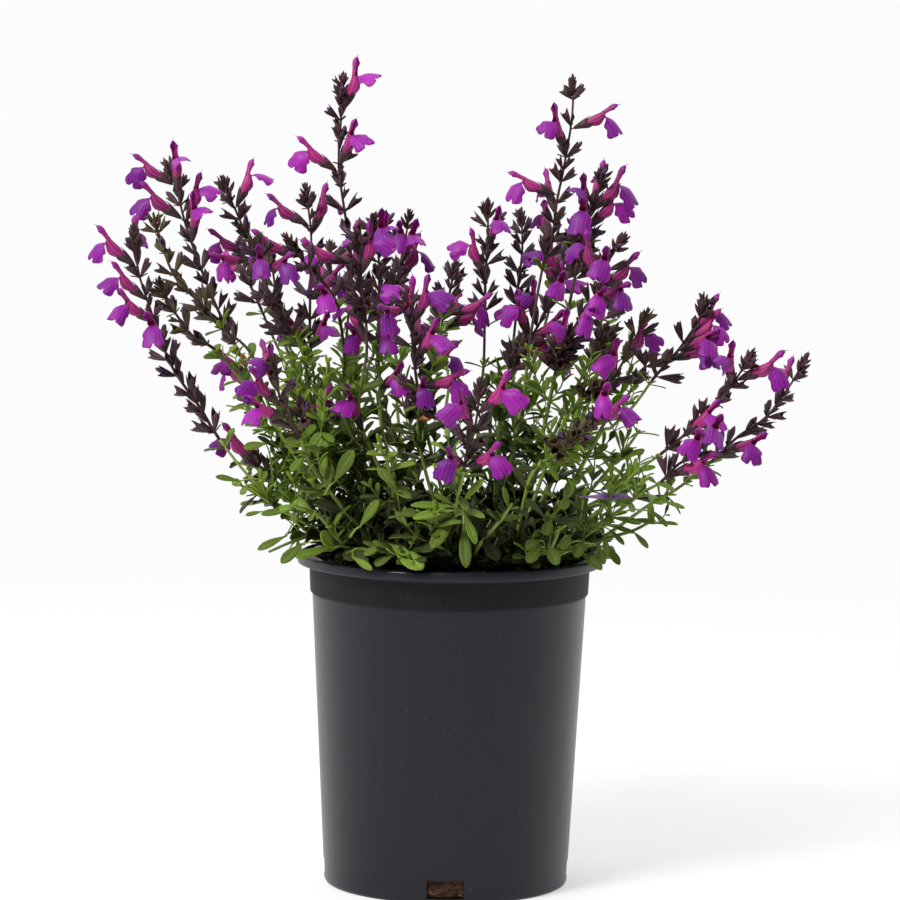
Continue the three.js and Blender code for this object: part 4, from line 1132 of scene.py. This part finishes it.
class Spike:
    """A flower spike while it grows: its stalk and calyces, the corollas of its open flowers, its buds."""

    def __init__(self, shoot):
        self.shoot, self.course, self.number = shoot, shoot["spike"], shoot["number"]
        self.chance = np.random.default_rng(SEED["spike"] + self.number)
        self.pick = self.chance.uniform
        self.calyces, self.corollas, self.buds = Growing(), Growing(), Growing()
        stalk = tube(self.course.line(16), np.linspace(*SPIKE_RADII, 16), 7, 0.4, 0.1, spare=1.0)
        self.calyces.add(None, stalk)
        self.olive = self.pick(1.0, 1.4) if shoot["node"] in OLIVE_SPIKES else self.pick(0, 0.5)
        self.pairs = max(2, round(self.course.length / CALYX["spacing"]))
        self.first_turn = 360 * draw(self.number, 2)

    def beside_bloom(self, t, turn, reach, closeness):
        """Whether a bloom of the solids is within reach of that place on the spike and on the same side."""
        return any(abs(t - at) * self.course.length < reach
                   and math.cos(math.radians(turn - bloom_turn)) > closeness
                   for at, bloom_turn, _ in self.shoot["blooms"])

    def empty_calyx(self, spot, length, radius, widest, **grid):
        """A calyx without a flower, gaping up to the widest."""
        gape, tone = self.pick(0, widest), self.pick(0, 1)
        self.calyces.add(spot, *calyx(length, radius, gape, tone, self.olive * self.pick(0.3, 1.3), **grid))

    def small_calyx(self, spot, length, widest):
        self.empty_calyx(spot, length, CALYX["radius"] * length / CALYX["length"], widest, **SMALL_CALYX)

    def open_flowers(self, first):
        """The blooms, the first of which has that flower number; gives back the number after the last."""
        blooms = [("spike", *bloom) for bloom in self.shoot["blooms"]]
        blooms += MORE_BLOOMS.get(self.shoot["node"], [])
        for i, (part, t, turn, lift) in enumerate(blooms):
            place, axes = self.shoot[part].spot(t, turn, lift)
            spot = (place, axes * (0.92 + 0.14 * draw(self.number, i, 1)))
            self.calyces.add(spot, *calyx(CALYX["open_length"], CALYX["open_radius"], 0.3, self.pick(0, 1),
                                         self.olive * 0.7))
            self.corollas.add(spot, *corolla(first + i, self.pick(0.1, 0.9), -axes[1, 1]))
        return first + len(blooms)

    def calyx_pairs(self):
        """The opposite pairs of calyces with their bracts, some holding a bud or beside a smaller calyx."""
        pick = self.pick
        for pair in range(self.pairs):
            t = (pair + 0.3) / (self.pairs + 0.4)
            place, along = self.course.at(t), self.course.along(t)
            for side in (0, 1):
                turn = self.first_turn + 90 * pair + 180 * side + 24 * draw(self.number, pair, side, 3)
                lift = 38 + 20 * draw(self.number, pair, side, 4)
                length = CALYX["length"] * (1 - 0.3 * t) * (0.9 + 0.2 * draw(self.number, pair, side, 5))
                bract = leaf(pick(3.5, 6), 1.7, 0.1, 0.3, 0.3, self.olive, rows=5, columns=3)
                self.calyces.add(growth(place, along, turn + 35, pick(45, 75)), bract)
                if pick() < 0.5:
                    small = length * pick(0.6, 0.95)
                    start = self.course.at(t + pick(0, 1.5) / self.course.length)
                    aside = self.chance.choice([-1, 1]) * pick(40, 65)
                    self.small_calyx(growth(start, along, turn + aside, pick(20, 48)), small, 0.5)
                if self.beside_bloom(t, turn, 5, 0.5):
                    continue
                radius = CALYX["radius"] * (1 - 0.25 * t)
                spot = growth(place, along, turn, lift)
                self.empty_calyx(spot, length, radius, 0.8)
                if pick() < 0.4 + 0.3 * t:
                    reach = length * pick(0.72, 0.97)
                    self.buds.add(spot, bud(reach, radius * 0.75 * BLUNT, pick(), 0.0, start=0.22 * length))

    def low_whorls(self):
        """The whorls of calyces that begin on the green stem."""
        stem = self.shoot["stem"]
        share = 1 - LOW_WHORLS.get(self.shoot["node"], 1)
        for whorl in range(round(share * stem.length / CALYX["spacing"])):
            t = 1 - (whorl + 0.5) * CALYX["spacing"] / stem.length
            for side in range(4):
                turn = self.pick(0, 30) + 45 * whorl + 90 * side
                spot = stem.spot(t, turn, self.pick(24, 58))
                self.empty_calyx(spot, CALYX["length"] * self.pick(0.75, 1.05), CALYX["radius"], 0.8)

    def crowd(self):
        """Smaller calyces between the pairs."""
        share = (0.65 if self.shoot["node"] < CROWDED_SPIKES else 0.4) * min(1, self.course.length / 45)
        for pair in range(self.pairs):
            t = (pair + 0.8) / (self.pairs + 0.4)
            for side in range(3):
                turn = self.first_turn + 45 + 90 * pair + 120 * side + self.pick(-25, 25)
                length = CALYX["length"] * (1 - 0.3 * t) * self.pick(0.6, 0.95)
                if self.beside_bloom(t, turn, 7, 0.3) or self.pick() > share:
                    continue
                self.small_calyx(self.course.spot(t, turn, self.pick(22, 46)), length, 0.6)

    def tuft(self):
        """The rings of young buds at the tip."""
        tip, along = self.course.at(1), self.course.along(1)
        for ring, (back, reach, lift) in enumerate(TUFT_RINGS):
            for side in (0, 1):
                turn = self.first_turn + 90 * ring + 180 * side + self.pick(-15, 15)
                spot = growth(tip - along * back, along, turn, lift + self.pick(-6, 6))
                reach *= self.pick(0.85, 1.1)
                tone, kind = self.pick(0, 0.7), self.pick(0, 0.3) * self.olive
                self.calyces.add(spot, bud(reach, 0.15 * reach * POINTED, tone, kind))


def withered_bits(shoots):
    """What has withered on the plant: dried calyces on the stems, and a petal lying across the leaves."""
    dried, fallen = Growing(), Growing()
    for node, part, t, turn, lift in DRIED_CALYCES:
        course = next(shoot[part] for shoot in shoots if shoot.get("node") == node)
        dried.add(course.spot(t, turn, lift), *calyx(12, 2.3, 0.2, 0.5))
    tan = plain_finish("dried calyx", (146, 78, 34), (216, 150, 92), 400, 0.7)
    dried.piece("dried_calyces", tan, "flower_spikes", "flower_spike_04")
    spot = facing(*[np.array(FALLEN_PETAL[part], float) for part in ("foot", "forward", "upper")])
    fallen.add(spot, leaf(FALLEN_PETAL["length"], FALLEN_PETAL["width"], 0.02, 0.8, 1.0, 1.0))
    faded = plain_finish("faded petal", (112, 60, 172), (206, 166, 204), 130, 0.6)
    fallen.piece("fallen_petal", faded, "flower_spikes", "flower_spike_28")


def grow_spikes(shoots):
    dark, petal, young = calyx_finish(), petal_finish(), bud_finish()
    flower = 1
    for shoot in shoots:
        if shoot["spike"] is None:
            continue
        spike = Spike(shoot)
        flower = spike.open_flowers(flower)
        spike.calyx_pairs()
        spike.low_whorls()
        spike.crowd()
        spike.tuft()
        name = f"spike_{shoot['node']:02d}"
        for part, growing, finish in (("calyces", spike.calyces, dark), ("buds", spike.buds, young),
                                      ("corollas", spike.corollas, petal)):
            if growing.count:
                growing.piece(f"{name}_{part}", finish, "flower_spikes", f"flower_{name}")
    withered_bits(shoots)


# ---------- pot and mix ----------


def filleted(corners, radius, steps=4):
    """An outline of (radius, height) places with its inner corners rounded, but for those marked plain."""
    places = [np.array(corner[:2], float) for corner in corners]
    made = [places[0]]
    for before, corner, after, given in zip(places, places[1:], places[2:], corners[1:]):
        if len(given) > 2:
            made.append(corner)
            continue
        reach = min(radius, 0.45 * np.linalg.norm(before - corner), 0.45 * np.linalg.norm(after - corner))
        start, end = corner + unit(before - corner) * reach, corner + unit(after - corner) * reach
        for w in np.linspace(0, 1, steps):
            made.append((1 - w) ** 2 * start + 2 * w * (1 - w) * corner + w ** 2 * end)
    return made + [places[-1]]


def turned(outline, sides):
    """A closed body of revolution about Z from (radius, height) places that start and end on the axis."""
    radius, height = np.array(outline).T
    rows = len(outline) - 2
    turn = np.arange(sides)[None] * 2 * math.pi / sides
    r, z = radius[1:-1, None], height[1:-1, None]
    grid = np.stack([r * np.cos(turn), r * np.sin(turn), z + 0 * turn], -1).reshape(-1, 3)
    ends = np.array([[0, 0, height[0]], [0, 0, height[-1]]])
    ring = np.arange(sides)
    nxt = (ring + 1) % sides
    first, last = len(grid), len(grid) + 1
    low = np.stack([np.full(sides, first), nxt, ring], 1)
    top = np.stack([np.full(sides, last), ring + (rows - 1) * sides, nxt + (rows - 1) * sides], 1)
    points = np.concatenate([grid, ends])
    faces = [strips(rows, sides, True)[:, ::-1], low, top]
    return points, faces, *marks_of(0.0, 0.0, np.full(len(points), 0.5))


def pot_outline():
    """The pot's outer and inner outline, from the middle of its base round to the middle of its floor."""
    wall, step, height = POT["wall"], POT["step_height"], POT["height"]
    low, high, floor = POT["hole_bottom"], POT["hole_top"], POT["floor"]
    lip_bottom, under_lip = height - POT["lip_depth"], height - POT["lip_thickness"]
    lip_inside = POT["lip_radius"] - POT["lip_thickness"]
    return filleted([
        (0, 0), (POT["base_radius"] - 1, 0), (POT["base_radius"], 1.4),
        (inner_radius(low) + wall, low, "plain"), (inner_radius(high) + wall, high, "plain"),
        (POT["body_top_radius"], step), (POT["collar_radius"], step + 0.3),
        (POT["collar_top_radius"], under_lip), (lip_inside, under_lip), (lip_inside, lip_bottom),
        (POT["lip_radius"], lip_bottom), (POT["lip_radius"], height),
        (POT["collar_top_radius"] - wall, height), (POT["collar_radius"] - wall, step + 0.8),
        (inner_radius(step - 1.5), step - 1.5),
        (inner_radius(high), high, "plain"), (inner_radius(low), low, "plain"),
        (inner_radius(floor), floor, "plain"), (0, floor),
    ], 1.0)


def build_pot():
    """The pot, with its drain holes left out of the wall's faces and lined between its two sides."""
    outline = pot_outline()
    points, (wall_faces, *ends), *marks = turned(outline, POT_SIDES)
    heights = np.array(outline)[1:-1, 1]
    outer_low, inner_low = np.flatnonzero(heights == POT["hole_bottom"])
    outer_high, inner_high = np.flatnonzero(heights == POT["hole_top"])
    open_face = np.zeros((len(heights) - 1, POT_SIDES), bool)
    reveals = []
    for hole in range(POT["hole_count"]):
        middle = hole * POT_SIDES // POT["hole_count"]
        columns = np.arange(middle - HOLE_REACH, middle + HOLE_REACH + 1) % POT_SIDES
        open_face[outer_low, columns[:-1]] = open_face[inner_high, columns[:-1]] = True
        floor = [row * POT_SIDES + columns for row in (outer_low, inner_low)]
        top = [row * POT_SIDES + columns for row in (outer_high, inner_high)]
        reveals.append(np.stack([floor[0][:-1], floor[0][1:], floor[1][1:], floor[1][:-1]], 1))
        reveals.append(np.stack([top[0][1:], top[0][:-1], top[1][:-1], top[1][1:]], 1))
        reveals.append(np.array([[floor[0][-1], top[0][-1], top[1][-1], floor[1][-1]],
                                 [top[0][0], floor[0][0], floor[1][0], top[1][0]]]))
    pot = Growing()
    pot.add(None, (points, [wall_faces[~open_face.ravel()], *reveals, *ends], *marks))
    made = pot.piece("nursery_pot", pot_finish(), "pot_plastic", "pot")
    made.data.set_sharp_from_angle(angle=math.radians(38))


def pebble(size, chance, tone):
    """A rough grain: a small block pulled about."""
    line = np.linspace([-0.5, 0, 0], [0.5, 0, 0], 5) * size[0]
    points, *rest = tube(line, [0.25, 0.45, 0.5, 0.42, 0.2], 7, tone)
    points = points * [1, size[1], size[2]] + chance.normal(0, 0.05, points.shape) * np.array(size)
    return points, *rest


def scatter_grains(chance):
    """Bark chips on the mix, with perlite grains among them."""
    bark, perlite = Growing(), Growing()
    for i in range(GRAINS["count"]):
        radius, turn = GRAINS["out_to"] * math.sqrt(chance.uniform()), chance.uniform(0, 2 * math.pi)
        place = on_mix(radius * math.cos(turn), radius * math.sin(turn))
        leaning = [math.degrees(angle) for angle in (chance.uniform(0, 6.28), chance.uniform(0.9, 1.6))]
        spot = growth(place, UP, *leaning)
        if i % GRAINS["perlite_every"]:
            size = (chance.uniform(3, 9), chance.uniform(2, 4), chance.uniform(1.5, 3))
            bark.add(spot, pebble(size, chance, chance.uniform()))
        else:
            grain = chance.uniform(1.5, 3.2)
            perlite.add(spot, pebble((grain, grain, grain), chance, 0.5))
    brown = plain_finish("bark chip", (48, 32, 22), (104, 72, 48), 500, 0.85)
    bark.piece("bark_chips", brown, "potting_mix", "soil")
    white = plain_finish("perlite grain", (190, 186, 178), (232, 230, 224), 900, 0.8)
    perlite.piece("perlite_grains", white, "potting_mix", "soil")


def root_fibres(chance):
    """The ends of fine roots that show in the drain holes."""
    fibres = Growing()
    steps = np.linspace(-1, 1, 7)
    for hole in range(POT["hole_count"]):
        turn = hole * 2 * math.pi / POT["hole_count"]
        cos, sin = math.cos(turn), math.sin(turn)
        spin = np.array([[cos, sin, 0], [-sin, cos, 0], [0, 0, 1]])
        for _ in range(FIBRES["a_hole"]):
            side, z = chance.uniform(-9, 9), chance.uniform(POT["hole_bottom"] + 1, POT["hole_top"] - 1)
            reach, tilt = chance.uniform(2, 6), chance.uniform(-0.8, 0.8)
            y = side + steps * reach * math.cos(tilt) + chance.normal(0, 0.3, 7)
            y = np.clip(y, -FIBRES["aside"], FIBRES["aside"])
            height = z + steps * reach * math.sin(tilt) + chance.normal(0, 0.3, 7)
            height = np.clip(height, FIBRES["low"], FIBRES["high"])
            out = POT["base_radius"] - 2.1 - chance.uniform(0, 0.9) - 0.4 * steps ** 2
            line = np.stack([out, y, height], 1) @ spin
            fibres.add(None, tube(line, chance.uniform(0.18, 0.5), 5, chance.uniform()))
    tan = plain_finish("root fibre", (78, 48, 28), (150, 108, 70), 700, 0.8)
    fibres.piece("root_fibres", tan, "potting_mix", "soil")


def build_mix():
    chance = np.random.default_rng(SEED["mix"])
    floor = POT["floor"] + 0.3
    outline = [(0, floor), (inner_radius(POT["floor"]) - 0.5, floor)]
    outline += [(inner_radius(z) - 0.5, z) for z in np.linspace(6, POT["step_height"] - 2, 12)]
    outline += [(SOIL_RADIUS * share, soil_height(SOIL_RADIUS * share)) for share in np.linspace(1, 0, 22)]
    points, *rest = turned(outline, MIX_SIDES)
    top = points[:, 2] > 170
    points[top, 2] += chance.normal(0, 0.5, top.sum()) - 0.6
    mix = Growing()
    mix.add(None, (points, *rest))
    mix.piece("potting_mix", mix_finish(), "potting_mix", "soil")
    scatter_grains(chance)
    root_fibres(chance)


# ---------- stage, light and camera (m) ----------

FLOOR_RADIUS, FLOOR_SIDES = 40, 64
BACKDROP = (0.975, 0.972, 0.985, 1)
FLOOR_GLOW = 0.45
FRONT_DIMMED = (0.5, 0.5, 0.51, 1)  # the floor towards the viewer, which the pot mirrors
LAMP = {"place": (-1.1, -1.3, 1.9), "aim": (0, 0, 0.3), "size": 0.9, "watts": 50}
CAMERA = {"place": (-0.00065, -2.3, 0.4795), "lens": 165.88, "sensor": 36, "down": 0.1024, "roll": 0.0136}


def placed(name, data):
    """A new object in the scene."""
    made = bpy.data.objects.new(name, data)
    bpy.context.scene.collection.objects.link(made)
    return made


def build_floor():
    mesh = bpy.data.meshes.new("floor")
    turn = np.linspace(0, 2 * math.pi, FLOOR_SIDES, endpoint=False)
    ring = [(FLOOR_RADIUS * math.cos(a), FLOOR_RADIUS * math.sin(a), 0.0) for a in turn]
    mesh.from_pydata(ring, [], [list(range(FLOOR_SIDES))])
    finish = Finish("white studio floor")
    place = finish.place()
    distance = finish.node("ShaderNodeVectorMath", {"operation": "LENGTH"}, {"Vector": place})["Value"]
    front = finish.xyz(place)[1].within(-0.12, -0.7)
    shine = {"Base Color": (0.5, 0.5, 0.5, 1), "Roughness": 0.7, "Specular IOR Level": 0.0,
             "Emission Color": finish.mix(front, (1, 1, 1, 1), FRONT_DIMMED), "Emission Strength": FLOOR_GLOW}
    near = finish.node("ShaderNodeBsdfPrincipled", None, shine)["BSDF"]
    seen = {"Color": finish.mix(front, BACKDROP, FRONT_DIMMED), "Strength": 1.0}
    far = finish.node("ShaderNodeEmission", None, seen)["Emission"]
    both = finish.mix_shaders(distance.within(0.35, 1.5), near, far)
    finish.node("ShaderNodeOutputMaterial", None, {"Surface": both})
    mesh.materials.append(finish.material)
    floor = placed("floor", mesh)


def light_studio():
    """A bright room, strongest behind the plant and overhead, and one soft lamp at the front left."""
    world = bpy.data.worlds.new("studio")
    bpy.context.scene.world = world
    world.use_nodes = True
    room = Nodes(world.node_tree)
    _, y, z = room.xyz(room.node("ShaderNodeTexCoord")["Generated"])
    glow = y.within(-0.5, 0.8) * 1.25 + z.within(0.1, 0.9) * 0.5 + 0.03
    lit = room.node("ShaderNodeBackground", None, {"Color": (1, 1, 1, 1), "Strength": glow})["Background"]
    seen = room.node("ShaderNodeBackground", None, {"Color": BACKDROP, "Strength": 1.0})["Background"]
    both = room.mix_shaders(room.node("ShaderNodeLightPath")["Is Camera Ray"], lit, seen)
    room.node("ShaderNodeOutputWorld", None, {"Surface": both})

    lamp = bpy.data.lights.new("soft key", "AREA")
    lamp.shape, lamp.size, lamp.energy = "DISK", LAMP["size"], LAMP["watts"]
    key = placed("soft key", lamp)
    key.location = Vector(LAMP["place"])
    key.rotation_mode = "QUATERNION"
    key.rotation_quaternion = (key.location - Vector(LAMP["aim"])).to_track_quat("Z", "Y")


def place_camera():
    """The viewpoint: 2.3 m in front of the pot, a little above the flowers, with a long lens."""
    lens = bpy.data.cameras.new("camera")
    lens.sensor_width, lens.lens = CAMERA["sensor"], CAMERA["lens"]
    camera = placed("camera", lens)
    camera.location = CAMERA["place"]
    camera.rotation_mode = "QUATERNION"
    tilt = Quaternion((1, 0, 0), math.pi / 2 - CAMERA["down"])
    camera.rotation_quaternion = tilt @ Quaternion((0, 0, 1), CAMERA["roll"])
    bpy.context.scene.camera = camera


build_pot()
build_mix()
SHOOTS = layout()
grow_clumps(SHOOTS)
grow_spikes(SHOOTS)
build_floor()
light_studio()
place_camera()
bpy.context.scene.view_settings.view_transform = "Standard"
